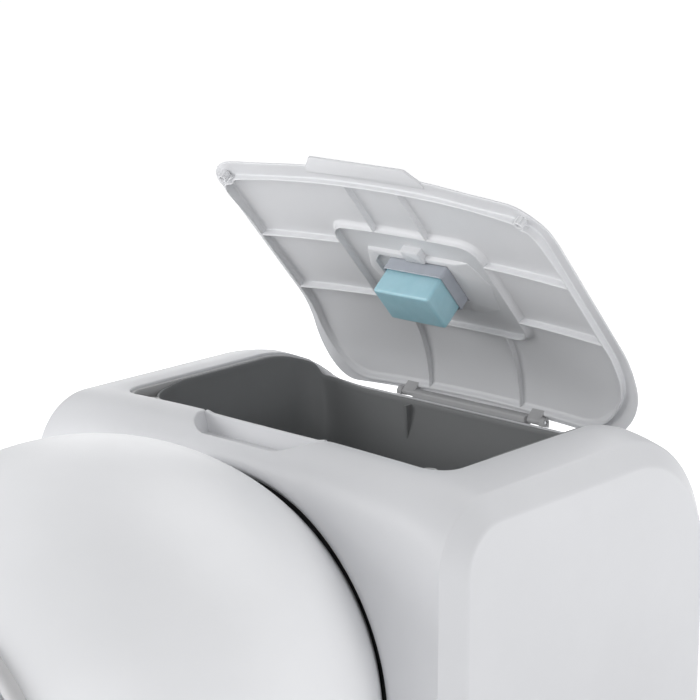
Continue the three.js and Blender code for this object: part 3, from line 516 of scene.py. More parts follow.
def patch(skin, holes, rims):
    """The tower's outer skin between the side creases, triangulated around its holes."""
    stations, widths = profile_stations(), width_stations()
    grid = np.stack(np.meshgrid(widths, stations, indexing="ij"), -1).reshape(-1, 2)
    edge_lines = np.concatenate(holes + rims)
    keep = np.ones(len(grid), bool)
    for start in range(0, len(grid), 4000):
        chunk = grid[start:start + 4000]
        gap = np.linalg.norm(chunk[:, None] - edge_lines[None, ::2], axis=2).min(1)
        keep[start:start + 4000] = gap > 0.0032
    for hole in holes:
        keep &= ~inside_loop(grid, hole)
    border = np.abs(grid[:, 0]) > widths[-1] - 1e-9
    border |= (grid[:, 1] < S_START + 1e-9) | (grid[:, 1] > S_END - 1e-9)
    points = [grid[keep | border]]
    for rim in rims:
        free = np.ones(len(rim), bool)
        for hole in holes:
            near = np.linalg.norm(rim[:, None] - hole[None], axis=2).min(1) < 0.0011
            free &= ~inside_loop(rim, hole) & ~near
        points.append(rim[free][::2])
    count = sum(len(p) for p in points)
    edges = []
    for hole in holes:
        ids = np.arange(len(hole)) + count
        edges.extend(zip(ids.tolist(), np.roll(ids, -1).tolist()))
        points.append(hole)
        count += len(hole)
    flat = np.concatenate(points)
    verts, _, faces, *_ = delaunay_2d_cdt([Vector(p) for p in flat], edges, [], 0, 1e-7)
    flat = np.array([tuple(v) for v in verts])
    faces = np.array(faces)
    centres = flat[faces].mean(1)
    wanted = np.ones(len(faces), bool)
    for hole in holes:
        wanted &= ~inside_loop(centres, hole)
    skin.add(tower_points(flat[:, 0], flat[:, 1]), faces[wanted])


def side_cap(skin, side):
    """Rounded second crease and the flat side face of the tower."""
    stations = profile_stations()
    last = width_stations()[-1]
    rings = [tower_points(np.full(len(stations), side * last), stations)]
    slope = (SIDE_INSET - CREASE_INSET) / (SIDE_X - CREASE_X)
    last_inset = float(inset(last))
    for x, extra in ((0.2652, 0.0011), (0.2657, 0.0022), (0.26593, 0.0032), (SIDE_X, 0.0044)):
        rings.append(side_ring(side * x, last_inset + slope * (0.2650 - last) + extra - 0.0004, stations))
    skin.loft(rings, closed=False)
    edge = rings[-1]
    floor_row = [edge[0], edge[-1]]
    skin.add(np.concatenate([edge, np.array(floor_row)]), [tuple(range(len(edge)))])


def side_ring(x, drop, stations):
    """Side profile drawn in by a given drop."""
    a = FRONT_ROUND_Y - FRONT_Y - 0.002 - (drop - CREASE_INSET)
    b = TOP_Z - FRONT_ROUND_Z - drop
    y, z = side_profile(stations, a, b, REAR_ROUND_R - drop)
    return np.stack([np.full(len(stations), x), y, z], 1)


def recess_parts():
    """Floor of the finger recess and the low wall between it and the opening."""
    skin = Skin()
    right = recess_side(16)
    plan = np.concatenate([right, right[::-1] * np.array([-1, 1])])
    rows = []
    for grow, z in ((-0.001, RECESS_FLOOR - 0.003), (-0.001, RECESS_FLOOR + 0.0004),
                    (-0.0075, RECESS_FLOOR + 0.0001), (-0.020, RECESS_FLOOR - 0.0005)):
        ring = plan * (1 + grow / 0.06)
        ring[:, 1] = RECESS_REAR - 0.001 + (plan[:, 1] - RECESS_REAR) * (1 + grow / 0.03)
        rows.append(np.column_stack([ring, np.full(len(ring), z)]))
    skin.loft(rows, cap=True)
    xs = np.linspace(-0.0740, 0.0740, 90)
    rise = 0.0016 * smooth_step((np.abs(xs) - 0.064) / 0.010)
    top = RECESS_WALL_TOP + rise
    rear = HINGE.y + OPENING_PLAN[1] + OPENING_PLAN[3] * (xs / OPENING_PLAN[0]) ** 2
    rear = rear - 0.0002
    front = np.full(len(xs), RECESS_REAR)
    radius = 0.0016
    rows = [np.stack([xs, front - 0.003, np.full(len(xs), RECESS_FLOOR - 0.002)], 1)]
    rows.append(np.stack([xs, front, top - radius], 1))
    for angle in np.radians(np.linspace(15, 165, 9)):
        y = (front + rear) / 2 - np.cos(angle) * (rear - front) / 2
        rows.append(np.stack([xs, y, top - radius + radius * np.sin(angle)], 1))
    rows.append(np.stack([xs, rear, top - radius], 1))
    rows.append(np.stack([xs, rear, np.full(len(xs), RECESS_FLOOR - 0.002)], 1))
    skin.loft([np.array(r) for r in np.array(rows).transpose(1, 0, 2)], cap=True)
    return skin


def make_tower(material):
    skin = tower_skin()
    body = finish_mesh("tower_casing", skin, merge=2e-6, sharp_deg=40)
    settle(body, material, "machine", ["tower_shell"])
    recess = finish_mesh("finger_recess_liner", recess_parts(), sharp_deg=50)
    settle(recess, material, "machine", [])


# ---------- opening frame and bin ----------
def frame_ledge(x, y):
    plain = tower_top(x, y) - 0.0046
    return smooth_min(plain, channel_floor(x, y) - 0.001, 0.0070)


def make_opening_frame(material):
    skin = Skin()
    loop = outline(OPENING_PLAN)
    out = normals_of(loop)

    posts = np.array([[-POST_X, POST_Y], [POST_X, POST_Y]])
    to_post = np.linalg.norm(loop[:, None] - posts, axis=2).min(1)

    def row(inward, drop):
        if inward > 0.001:
            inward = np.clip(to_post - POST_ROOM, 0.0003, inward)[:, None]
        p = loop - out * inward
        z = frame_ledge(p[:, 0], p[:, 1] + HINGE.y) - drop
        ahead = (np.abs(p[:, 0]) < RECESS_WIDE) & (p[:, 1] < -0.26)
        z = z - 0.006 * ahead
        return np.column_stack([p[:, 0], p[:, 1] + HINGE.y, z])

    profile = [(0.0004, 0.0110), (0.0004, 0.0004), (0.0008, 0.0), (0.0022, 0.0), (0.0033, 0.0001),
               (0.0037, 0.0004), (0.0039, 0.0012), (0.0040, 0.0100), (0.0036, 0.0112)]
    rows = [row(*p) for p in profile]
    skin.loft(rows + rows[:1])
    build("opening_ledge", skin, material, "machine", ["opening_frame"], sharp_deg=60)


def make_bin(material):
    skin = Skin()
    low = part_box("waste_bin")[0].z
    wall = 0.003

    def row(shrink, drop=None, height=None):
        """Ring of the wall, a drop below the rim or a height above the floor."""
        straight_wall, flared = outline(BIN_PLAN, shrink), outline(BIN_RIM_PLAN, shrink)
        y = straight_wall[:, 1] + HINGE.y
        rim = frame_ledge(flared[:, 0], flared[:, 1] + HINGE.y) - 0.0006
        middle = 1 - smooth_step((np.abs(flared[:, 0]) - 0.135) / 0.035)
        rim = rim - (0.0065 + 0.0115 * middle) * smooth_step((0.125 - y) / 0.050)
        z = rim - drop if height is None else np.full(len(y), low + height)
        flare = smooth_step(1 - (rim - z) / 0.070)[:, None] if height is None else 0.0
        p = straight_wall + (flared - straight_wall) * flare
        return np.column_stack([p[:, 0], p[:, 1] + HINGE.y, z])

    inner = [row(0.060, height=wall), row(0.026, height=wall)]
    for t in np.radians(np.linspace(0, 90, 8)):
        inner.append(row(wall + 0.018 * (1 - np.sin(t)), height=wall + 0.018 * (1 - np.cos(t)) + 1e-5))
    up = [row(wall, height=h) for h in (0.05, 0.12, 0.20)]
    up += [row(wall, drop=d) for d in (0.080, 0.070, 0.060, 0.050, 0.040, 0.030, 0.020, 0.012, 0.006)]
    rim = [row(wall, drop=0.0014), row(wall - 0.0005, drop=0.0004), row(0.0015, drop=0.0),
           row(0.0004, drop=0.0004), row(0.0, drop=0.0014)]
    down = [row(0.0, drop=d) for d in (0.006, 0.012, 0.020, 0.030, 0.040, 0.050, 0.060, 0.070, 0.080)]
    down += [row(0.0, height=0.05), row(0.0, height=0.012), row(0.003, height=0.004), row(0.010, height=1e-5),
             row(0.060, height=1e-5)]
    skin.loft(inner + up + rim + down, cap=True)
    piece = finish_mesh("waste_bin_shell", skin, sharp_deg=60)
    cut_port(piece)
    settle(piece, material, "bin", ["waste_bin"])


def cut_port(piece):
    """Opening in the bin's front wall for the chute."""
    skin = Skin()
    plan = rectangle(-0.066, 0.362, 0.066, 0.456, 0.016)
    y = HINGE.y + BIN_PLAN[1]
    prism_along_y(skin, plan, (y - 0.012, y + 0.014))
    tool = finish_mesh("port_tool", skin)
    cut = piece.modifiers.new("port", "BOOLEAN")
    cut.object = tool
    cut.operation = "DIFFERENCE"
    cut.solver = "EXACT"
    bpy.context.view_layer.update()
    done = bpy.data.meshes.new_from_object(piece.evaluated_get(bpy.context.evaluated_depsgraph_get()))
    piece.modifiers.clear()
    piece.data = done
    bpy.data.objects.remove(tool)


def make_hinge_cover(material):
    """Smooth bar between the two hinge knuckles."""
    low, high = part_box("hinge_cover")
    profile = rectangle(low.y, low.z, high.y, high.z, 0.0030)
    skin = Skin()
    bar_along_x(skin, profile, low.x, high.x, 0.88)
    build("hinge_bar", skin, material, "machine", ["hinge_cover"])


def make_gusset(material):
    """Slim stiffening fin on the inside wall beside the left hinge."""
    rear = HINGE.y + BIN_RIM_PLAN[2]
    x, half = -0.0605, 0.0012
    rows = []
    for k in np.linspace(0, 1, 12):
        reach = 0.0120 * (1 - k) ** 0.9 + 0.0004
        z = HINGE.z - 0.0050 - 0.042 * k
        back = rear + 0.001 - 0.008 * k
        rows.append(np.array([(x - half, back, z), (x - half, back - reach + 0.0004, z), (x, back - reach, z),
                              (x + half, back - reach + 0.0004, z), (x + half, back, z)]))
    skin = Skin()
    skin.loft(rows, cap=True)
    build("wall_gusset", skin, material, "machine", sharp_deg=40)


def make_slot_shade_blocks(material):
    """Near-black blocks as painted shade where the slots under the rear rim are, just inboard of the
    knuckles.
    """
    skin = Skin()
    y = HINGE.y + OPENING_PLAN[2] - 0.0002
    for side in (-1, 1):
        plan = rectangle(side * 0.067 - 0.005, 0.4930, side * 0.067 + 0.005, 0.4962, 0.0010, 4)
        prism_along_y(skin, plan, (y + 0.001, y - 0.0045))
    build("hinge_slot_shade", skin, material, "machine", sharp_deg=40)


# ---------- lid ----------
def body_top(x, y):
    return tower_top(x, y + HINGE.y) - HINGE.z


def corner_droop(x, y):
    return smooth_step((-y - 0.200) / 0.075) * (x / 0.175) ** 4


def lid_top(x, y):
    crown = 0.0014 * smooth_step(-plan_distance(LID_PLAN, x, y) / 0.036)
    front = 0.0028 * smooth_step((np.abs(x) - 0.05) / 0.09) * smooth_step((-y - 0.24) / 0.05)
    return body_top(x, y) + 0.004 + crown - 0.0018 * (x / LID_PLAN[0]) ** 4 - front


def lid_under(x, y):
    inside = smooth_step(-plan_distance(LID_PLAN, x, y) / 0.02)
    return lid_top(x, y) - LID_EDGE - (LID_SKIN - LID_EDGE) * inside


def lid_crest(x, y):
    return body_top(x, y) - 0.0034 - 0.0029 * (x / 0.18) ** 2 - 0.0025 * corner_droop(x, y)


def swung(points):
    """Closed-lid points about the hinge, turned to the lid's rest pose in the row frame."""
    points = np.asarray(points, float)
    c, s = math.cos(LID_OPEN), math.sin(LID_OPEN)
    y = points[:, 1] * c + points[:, 2] * s + HINGE.y
    z = -points[:, 1] * s + points[:, 2] * c + HINGE.z
    return np.column_stack([points[:, 0], y, z])


def swing_skin(skin):
    skin.points = [tuple(p) for p in swung(np.array(skin.points))]
    return skin


def rib(skin, path, closed=False, thick=RIB_T, inner_foot=0.0013, outer_foot=0.0013):
    """A rib on the lid's underside along a plan path, with fillets at its foot and a round crest."""
    side = normals_of(path, closed)
    half = thick / 2
    height = lid_under(path[:, 0], path[:, 1]) - lid_crest(path[:, 0], path[:, 1])
    sections = []
    for t in np.radians(np.linspace(0, 90, 7)):
        sections.append((-(half + inner_foot * (1 - math.sin(t))), inner_foot * (1 - math.cos(t)), None))
    for t in np.radians(np.linspace(0, 180, 7)):
        sections.append((-half * math.cos(t), None, half * math.sin(t) - half))
    for t in np.radians(np.linspace(90, 0, 7)):
        sections.append((half + outer_foot * (1 - math.sin(t)), outer_foot * (1 - math.cos(t)), None))
    rows = []
    for offset, rise, from_crest in sections:
        p = path + side * offset
        up = rise if from_crest is None else height + from_crest
        z = lid_under(p[:, 0], p[:, 1]) - up + (0.0004 if rise == 0 else 0)
        rows.append(np.column_stack([p, z]))
    if closed:
        skin.loft(rows)
    else:
        skin.loft([np.array(r) for r in np.array(rows).transpose(1, 0, 2)], closed=False)


def straight(x0, y0, x1, y1, count=40):
    return np.stack([np.linspace(x0, x1, count), np.linspace(y0, y1, count)], 1)


def lid_plate(skin):
    """Outer skin of the lid with its rounded edge."""
    half_t = LID_EDGE / 2
    rows = []
    inner = outline(LID_PLAN, 0.060)
    centre = np.array([0, (LID_PLAN[1] + LID_PLAN[2]) / 2])

    def row(p, height):
        return np.column_stack([p, height(p[:, 0], p[:, 1])])

    for k in np.linspace(0.02, 0.95, 14):
        rows.append(row(centre + (inner - centre) * k, lid_under))
    steps = (0.003, 0.0045, 0.007, 0.010, 0.013, 0.017, 0.021, 0.026, 0.031, 0.036, 0.042, 0.050, 0.060)
    for shrink in steps[::-1]:
        rows.append(row(outline(LID_PLAN, shrink), lid_under))
    for t in np.radians(np.linspace(-90, 90, 9)):
        p = outline(LID_PLAN, half_t * (1 - math.cos(t)) + 1e-5)
        z = lid_under(p[:, 0], p[:, 1]) + half_t + half_t * math.sin(t)
        rows.append(np.column_stack([p, z]))
    for shrink in steps:
        rows.append(row(outline(LID_PLAN, shrink), lid_top))
    for k in np.linspace(0.95, 0.02, 14):
        rows.append(row(centre + (inner - centre) * k, lid_top))
    skin.loft(rows, cap=True)


def lid_tab(skin):
    """Finger tab that stands out over the recess."""
    plan = rounded_polygon([(-0.072, -0.291), (-0.0705, -0.2985), (-0.058, -0.3128), (0.058, -0.3128),
                            (0.0705, -0.2985), (0.072, -0.291)], 0.002, 6)
    rows = []
    for shrink, z in ((0.0010, 0.0), (0.0003, 0.0003), (0.0, 0.0011), (0.0, 0.0022), (0.0004, 0.0030),
                      (0.0012, 0.0034)):
        p = plan - normals_of(plan) * shrink
        low = lid_top(p[:, 0], np.maximum(p[:, 1], -0.292)) - 0.0042
        rows.append(np.column_stack([p, low + z]))
    skin.loft(rows, cap=True)


def make_knuckles(material):
    """Two hinge knuckles with the arms that join them to the lid."""
    skin = Skin()
    for side in (-1, 1):
        x0, x1 = sorted((side * 0.0722, side * 0.0876))
        profile = [(-0.0036, 0.0), (-0.0036, 0.011), (0.0026, 0.011)]
        for t in np.radians(np.linspace(10, -180, 20)):
            profile.append((0.0036 * math.cos(t), 0.0036 * math.sin(t)))
        bar_along_x(skin, np.array(profile), x0, x1, 11 / 12)
    build("lid_knuckles", swing_skin(skin), material, "lid", sharp_deg=45)



def notched(loop, centre, radius):
    """A closed loop that goes round the inner side of a circle where it would cross it."""
    start = int(np.argmin(np.linalg.norm(loop, axis=1)))
    loop = resample(np.roll(loop, -start, 0), 0.0012)
    inside = np.linalg.norm(loop - centre, axis=1) < radius
    first = int(np.argmax(inside))
    last = len(loop) - int(np.argmax(inside[::-1]))
    a, b = loop[first - 1] - centre, loop[last % len(loop)] - centre
    turn0, turn1 = math.atan2(a[1], a[0]), math.atan2(b[1], b[0])
    if turn1 > turn0:
        turn1 -= 2 * math.pi
    angles = np.linspace(turn0, turn1, 34)[1:-1]
    around = centre + radius * np.stack([np.cos(angles), np.sin(angles)], 1)
    return relaxed(np.concatenate([loop[:first], around, loop[last:]]), 3)


def make_lid(material):
    skin = Skin()
    lid_plate(skin)
    lid_tab(skin)
    wall = outline(WALL_PLAN)
    for side in (-1, 1):
        wall = notched(wall, np.array([side * POST_X, POST_Y]), 0.0105)
    rib(skin, wall, closed=True, thick=0.0025, inner_foot=0.0020, outer_foot=0.0016)
    x, front, rear = RING
    ring = resample(rectangle(-x, front, x, rear, 0.020, 14), 0.003)
    rib(skin, ring, closed=True, inner_foot=0.0014, outer_foot=0.0055)
    for side in (-1, 1):
        rib(skin, straight(side * 0.0324, -0.2795, side * 0.0324, front))
        rib(skin, straight(side * 0.0579, rear, side * 0.0579, -0.0025))
        for y in (-0.1884, -0.1057):
            rib(skin, straight(side * x, y, side * 0.1900, y))
    build("lid_panel", swing_skin(skin), material, "lid", ["lid_shell"], sharp_deg=45)


def make_lid_posts(material):
    """Fluted screw posts at the lid's front corners."""
    angles = np.linspace(0, 2 * math.pi, 96, endpoint=False)
    for side, name in ((-1, "left"), (1, "right")):
        skin = Skin()
        x, y = side * POST_X, POST_Y
        low = POST_LOW
        top = float(lid_under(x, y)) - 0.0004
        flute = 0.0050 - 0.0008 * np.clip(np.cos(8 * angles), 0, 1) ** 0.6
        profile = ((0.0004, low + 0.007), (0.0026, low + 0.007), (0.0026, low + 0.0006), (0.0030, low),
                   (flute - 0.0005, low), (flute, low + 0.0005), (flute, top), (0.0004, top))
        skin.loft([round_row(x, y, radius, z, len(angles)) for radius, z in profile], cap=True)
        build(f"lid_screw_post_{name}", swing_skin(skin), material, "lid", [f"lid_post_{name}"])


# ---------- deodoriser in the lid ----------
def plate_rows(plans):
    """Rows of (plan, z) as points, for lofting a plate."""
    return [np.column_stack([plan, np.full(len(plan), z)]) for plan, z in plans]


def grown(plan, amount):
    return plan + normals_of(plan) * amount


def make_holder(material):
    base = rounded_polygon([(-0.062, -0.1812), (0.062, -0.1812), (0.0755, -0.150), (0.0655, -0.112),
                            (0.042, -0.102), (-0.042, -0.102), (-0.0655, -0.112), (-0.0755, -0.150)],
                           0.002, 5)
    top = rounded_polygon([(-0.0600, -0.1802), (0.0500, -0.1802), (0.0540, -0.160), (0.0470, -0.118),
                           (0.0360, -0.1085), (-0.036, -0.1085), (-0.062, -0.118), (-0.0705, -0.152)],
                          0.002, 5)
    well = rounded_polygon([(-0.0480, -0.1752), (0.0370, -0.1752), (0.0370, -0.1225), (-0.0480, -0.1225),
                            (-0.0590, -0.134), (-0.0590, -0.163)], 0.0012, 5)
    high = 0.0478
    skin = Skin()
    skin.loft(plate_rows([(base, high), (base, 0.0468), (grown(base, -0.0004), 0.0462),
                          (grown(top, 0.0004), HOLDER_FACE + 0.0004), (grown(top, -0.0003), HOLDER_FACE)]))
    bridge(skin, grown(top, -0.0003), grown(well, 0.0004), HOLDER_FACE)
    skin.loft(plate_rows([(grown(well, 0.0004), HOLDER_FACE), (well, HOLDER_FACE + 0.0004), (well, high)]))
    build("cartridge_holder", swing_skin(skin), material, "lid", ["holder_frame"],
          sharp_deg=30)


def bridge(skin, outer, inner, z):
    """Flat face between two closed loops at one height."""
    loops = [outer, inner]
    flat = np.concatenate(loops)
    edges = []
    start = 0
    for loop in loops:
        ids = np.arange(len(loop)) + start
        edges.extend(zip(ids.tolist(), np.roll(ids, -1).tolist()))
        start += len(loop)
    verts, _, faces, *_ = delaunay_2d_cdt([Vector(p) for p in flat], edges, [], 0, 1e-8)
    flat = np.array([tuple(v) for v in verts])
    faces = np.array(faces)
    centres = flat[faces].mean(1)
    wanted = inside_loop(centres, outer) & ~inside_loop(centres, inner)
    skin.add(np.column_stack([flat, np.full(len(flat), z)]), faces[wanted])


def make_latch(material):
    corners = [(-0.0118, -0.1915), (0.0108, -0.1915), (0.0118, -0.1760), (-0.0118, -0.1760)]
    plan = rounded_polygon(corners, 0.0012, 5)
    skin = Skin()
    skin.loft(plate_rows([(plan, 0.0478), (plan, 0.0410), (grown(plan, -0.0005), 0.0402),
                          (grown(plan, -0.0012), 0.0399)]), cap=True)
    build("release_tab", swing_skin(skin), material, "latch", ["latch_tab"])


def make_tray(material):
    outer = rectangle(-0.0363, -0.1738, 0.0363, -0.1242, 0.0036, 10)
    inner = grown(outer, -0.0013)
    lip = grown(outer, 0.0002)
    skin = Skin()
    skin.loft(plate_rows([(inner, 0.0424), (inner, 0.0304), (grown(outer, -0.0008), 0.0300), (outer, 0.0306),
                          (outer, 0.0400), (lip, 0.0404), (lip, 0.0436), (grown(outer, -0.0006), 0.0438)]),
              cap=True)
    build("clear_tray", swing_skin(skin), material, "gel", ["cartridge_tray"])


def make_gel(material):
    plan = rectangle(-0.0345, -0.1710, 0.0345, -0.1270, 0.0038, 10)
    skin = Skin()
    low, high, soft = 0.0045, 0.0415, 0.0030
    centre = plan.mean(0)
    rows = [(centre + (plan - centre) * k, low) for k in (0.05, 0.3, 0.6, 0.85)]
    for t in np.radians(np.linspace(0, 90, 7)):
        rows.append((grown(plan, -soft * (1 - math.sin(t))), low + soft * (1 - math.cos(t))))
    rows += [(grown(plan, 0.0), 0.020), (grown(plan, 0.0), high - 0.001), (grown(plan, -0.001), high)]
    skin.loft(plate_rows(rows), cap=True)
    build("gel_brick", swing_skin(skin), material, "gel", ["gel_block"])


# ---------- drum ----------
def turned(profile, count=220):
    """Rings of a (radius, y) profile turned about the drum axis."""
    angles = np.linspace(0, 2 * math.pi, count, endpoint=False)
    rows = []
    for radius, y in profile:
        x, z = radius * np.sin(angles), DRUM.z + radius * np.cos(angles)
        rows.append(np.column_stack([x, np.full(count, y), z]))
    return rows


def make_drum(material):
    low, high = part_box("drum_shell")
    wall = 0.004
    a0 = math.asin((low.y - DRUM.y) / DRUM_R)
    a1 = math.asin((high.y - DRUM.y) / DRUM_R)
    outer = [(DRUM_R * math.cos(a), DRUM.y + DRUM_R * math.sin(a)) for a in np.linspace(a0, a1, 110)]
    inner = [((DRUM_R - wall) * math.cos(a), DRUM.y + (DRUM_R - wall) * math.sin(a))
             for a in np.linspace(a1, a0 * 0.995, 80)]
    skin = Skin()
    rows = turned(outer + inner)
    skin.loft(rows + rows[:1])
    build("drum_ball", skin, material, "drum", ["drum_shell"], sharp_deg=40)


def make_entrance(material):
    low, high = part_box("entrance_ring")
    outer_r, inner_r = high.x, 0.158
    profile = []
    for t in np.radians(np.linspace(180, 0, 24)):
        mid, half = (outer_r + inner_r) / 2, (outer_r - inner_r) / 2
        profile.append((mid + half * math.cos(t), low.y + 0.0065 - 0.0065 * math.sin(t)))
    profile += [(outer_r, high.y), (inner_r, high.y)]
    rows = turned(profile)
    skin = Skin()
    skin.loft(rows + rows[:1])
    build("entrance_trim", skin, material, "drum", ["entrance_ring"])


# ---------- cradle and base ----------
def field_mesh(name, field, low, high, cell):
    """Mesh of the surface where a distance field is zero."""
    counts = [int(round((b - a) / cell)) + 1 for a, b in zip(low, high)]
    axes = [a + np.arange(n) * cell for a, n in zip(low, counts)]
    grid_x, grid_y, grid_z = np.meshgrid(*axes, indexing="ij")
    values = field(grid_x, grid_y, grid_z).astype(np.float32)
    grid = openvdb.FloatGrid(0.05)
    grid.copyFromArray(values)
    points, quads = grid.convertToQuads(0.0)
    skin = Skin()
    skin.points = [tuple(p) for p in points * cell + np.array(low)]
    skin.faces = [tuple(int(i) for i in q) for q in quads]
    return finish_mesh(name, skin)


def rounded_box(x, y, z, low, high, plan_r, edge_r):
    """Distance to a box with round vertical corners and a small round on its top and bottom edges."""
    cx, cy, cz = [(a + b) / 2 for a, b in zip(low, high)]
    hx, hy, hz = [(b - a) / 2 for a, b in zip(low, high)]
    dx = np.abs(x - cx) - (hx - plan_r)
    dy = np.abs(y - cy) - (hy - plan_r)
    side = np.hypot(np.maximum(dx, 0), np.maximum(dy, 0)) + np.minimum(np.maximum(dx, dy), 0) - plan_r
    ends = np.abs(z - cz) - hz
    a, b = side + edge_r, ends + edge_r
    return np.hypot(np.maximum(a, 0), np.maximum(b, 0)) + np.minimum(np.maximum(a, b), 0) - edge_r


def make_cradle(material):
    low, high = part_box("cradle_shell")
    front, half = low.y, high.x

    def field(x, y, z):
        outer = rounded_box(x, y, z, (-half, front, low.z - 0.05), (half, 0.070, high.z), 0.096, 0.006)
        inner = rounded_box(x, y, z, (-half + 0.004, front + 0.004, low.z - 0.1),
                            (half - 0.004, 0.066, high.z - 0.004), 0.092, 0.004)
        ball = np.sqrt(x ** 2 + (y - DRUM.y) ** 2 + (z - DRUM.z) ** 2)
        dish = ball - (DRUM_R + 0.010)
        hollow = np.maximum(inner, -dish)
        shell = smooth_max(outer, -(ball - (DRUM_R + 0.006)), 0.005)
        shell = np.maximum(shell, -hollow)
        entry = np.maximum(np.abs(x) - 0.150, np.maximum(0.1495 - z, y + 0.330))
        corner = np.hypot(np.maximum(np.abs(x) - 0.120, 0), np.maximum(0.1795 - z, 0)) - 0.030
        entry = np.where((np.abs(x) > 0.120) & (z < 0.1795), np.maximum(corner, y + 0.330), entry)
        step = rounded_box(x, y, z, (-0.140, front + 0.0025, 0.1425), (0.140, -0.330, 0.1485), 0.004, 0.002)
        step = np.maximum(step, -(ball - (DRUM_R + 0.006)))
        shell = smooth_max(shell, -entry, 0.005)
        shell = np.minimum(shell, step)
        shell = np.maximum(shell, low.z - z)
        return np.maximum(shell, y - high.y)

    margin = 0.006
    piece = field_mesh("cradle_cover", field, (low.x - margin, low.y - margin, low.z - margin),
                       (high.x + margin, high.y + margin, high.z + margin), 0.0022)
    settle(piece, material, "machine", ["cradle_shell"])


def make_base(material):
    low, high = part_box("base_pan")
    plan = rectangle(low.x, low.y, high.x, high.y, 0.060, 20)
    wall = 0.006
    rows = [(plan * 0.3, low.z), (plan * 0.7, low.z), (grown(plan, -0.010), low.z)]
    for t in np.radians(np.linspace(0, 90, 7)):
        rows.append((grown(plan, -0.008 * (1 - math.sin(t))), low.z + 0.008 * (1 - math.cos(t))))
    rows += [(plan, high.z - 0.0012), (grown(plan, -0.0004), high.z - 0.0003), (grown(plan, -0.0012), high.z),
             (grown(plan, -wall + 0.001), high.z), (grown(plan, -wall), high.z - 0.001),
             (grown(plan, -wall), low.z + 0.010), (grown(plan, -wall - 0.004), low.z + wall),
             (plan * 0.7, low.z + wall), (plan * 0.3, low.z + wall)]
    skin = Skin()
    skin.loft(plate_rows(rows), cap=True)
    build("base_tray", skin, material, "machine", ["base_pan"])


def make_feet(material):
    for row in ("front", "rear"):
        for side in ("left", "right"):
            low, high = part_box(f"foot_{row}_{side}")
            cx, cy = (low.x + high.x) / 2, (low.y + high.y) / 2
            radius = (high.x - low.x) / 2
            profile = ((0.2, 0.0002), (0.60, 0.0002), (0.66, 0.0012), (0.76, 0.0012), (0.82, 0.0),
                       (0.95, 0.0), (0.99, 0.0006), (1.0, 0.0016), (1.0, 0.006), (0.88, 0.0075))
            rows = [round_row(cx, cy, radius * r, low.z + z, 64) for r, z in profile]
            rows += [round_row(cx, cy, radius * r, high.z, 64) for r in (0.88, 0.2)]
            skin = Skin()
            skin.loft(rows, cap=True)
            build(f"rubber_foot_{row}_{side}", skin, material, "machine", [f"foot_{row}_{side}"],
                  sharp_deg=45)


# ---------- materials ----------
class Nodes:
    """Short calls for building one node material."""

    def __init__(self, name):
        self.material = bpy.data.materials.new(name)
        self.material.use_nodes = True
        self.tree = self.material.node_tree
        self.tree.nodes.clear()
        self.output = self.tree.nodes.new("ShaderNodeOutputMaterial")
        self.shader = self.tree.nodes.new("ShaderNodeBsdfPrincipled")
        self.tree.links.new(self.shader.outputs[0], self.output.inputs[0])

    def new(self, kind, **settings):
        node = self.tree.nodes.new(kind)
        for key, value in settings.items():
            setattr(node, key, value)
        return node

    def link(self, source, target):
        self.tree.links.new(source, target)

    def place(self):
        return self.new("ShaderNodeTexCoord").outputs["Object"]

    def noise(self, scale, detail=3.0, roughness=0.55):
        node = self.new("ShaderNodeTexNoise")
        node.inputs["Scale"].default_value = scale
        node.inputs["Detail"].default_value = detail
        node.inputs["Roughness"].default_value = roughness
        self.link(self.place(), node.inputs["Vector"])
        return node.outputs["Fac"]

    def spread(self, value, low, high, out_low, out_high):
        node = self.new("ShaderNodeMapRange")
        for key, number in (("From Min", low), ("From Max", high), ("To Min", out_low), ("To Max", out_high)):
            node.inputs[key].default_value = number
        self.link(value, node.inputs["Value"])
        return node.outputs["Result"]

    def mix(self, factor, a, b):
        node = self.new("ShaderNodeMix", data_type="RGBA")
        self.link(factor, node.inputs["Factor"])
        for socket, value in ((node.inputs["A"], a), (node.inputs["B"], b)):
            if isinstance(value, tuple):
                socket.default_value = (*value, 1.0)
            else:
                self.link(value, socket)
        return node.outputs["Result"]

    def bump(self, height, strength, distance, below=None):
        node = self.new("ShaderNodeBump")
        node.inputs["Strength"].default_value = strength
        node.inputs["Distance"].default_value = distance
        self.link(height, node.inputs["Height"])
        if below is not None:
            self.link(below, node.inputs["Normal"])
        return node.outputs["Normal"]

    def surface(self, blotch, colours, gloss, rough, grain, strength, depth):
        """Mottled colour, mottled roughness and a fine grain, each from a noise of its own."""
        inputs = self.shader.inputs
        self.link(self.mix(self.spread(self.noise(*blotch), 0.3, 0.7, 0, 1), *colours), inputs["Base Color"])
        self.link(self.spread(self.noise(*gloss), 0.3, 0.7, *rough), inputs["Roughness"])
        self.link(self.bump(self.noise(*grain), strength, depth), inputs["Normal"])

    def edges(self):
        """How convex the surface is, from 0 on flats to 1 on edges."""
        return self.spread(self.new("ShaderNodeNewGeometry").outputs["Pointiness"], 0.52, 0.62, 0.0, 1.0)


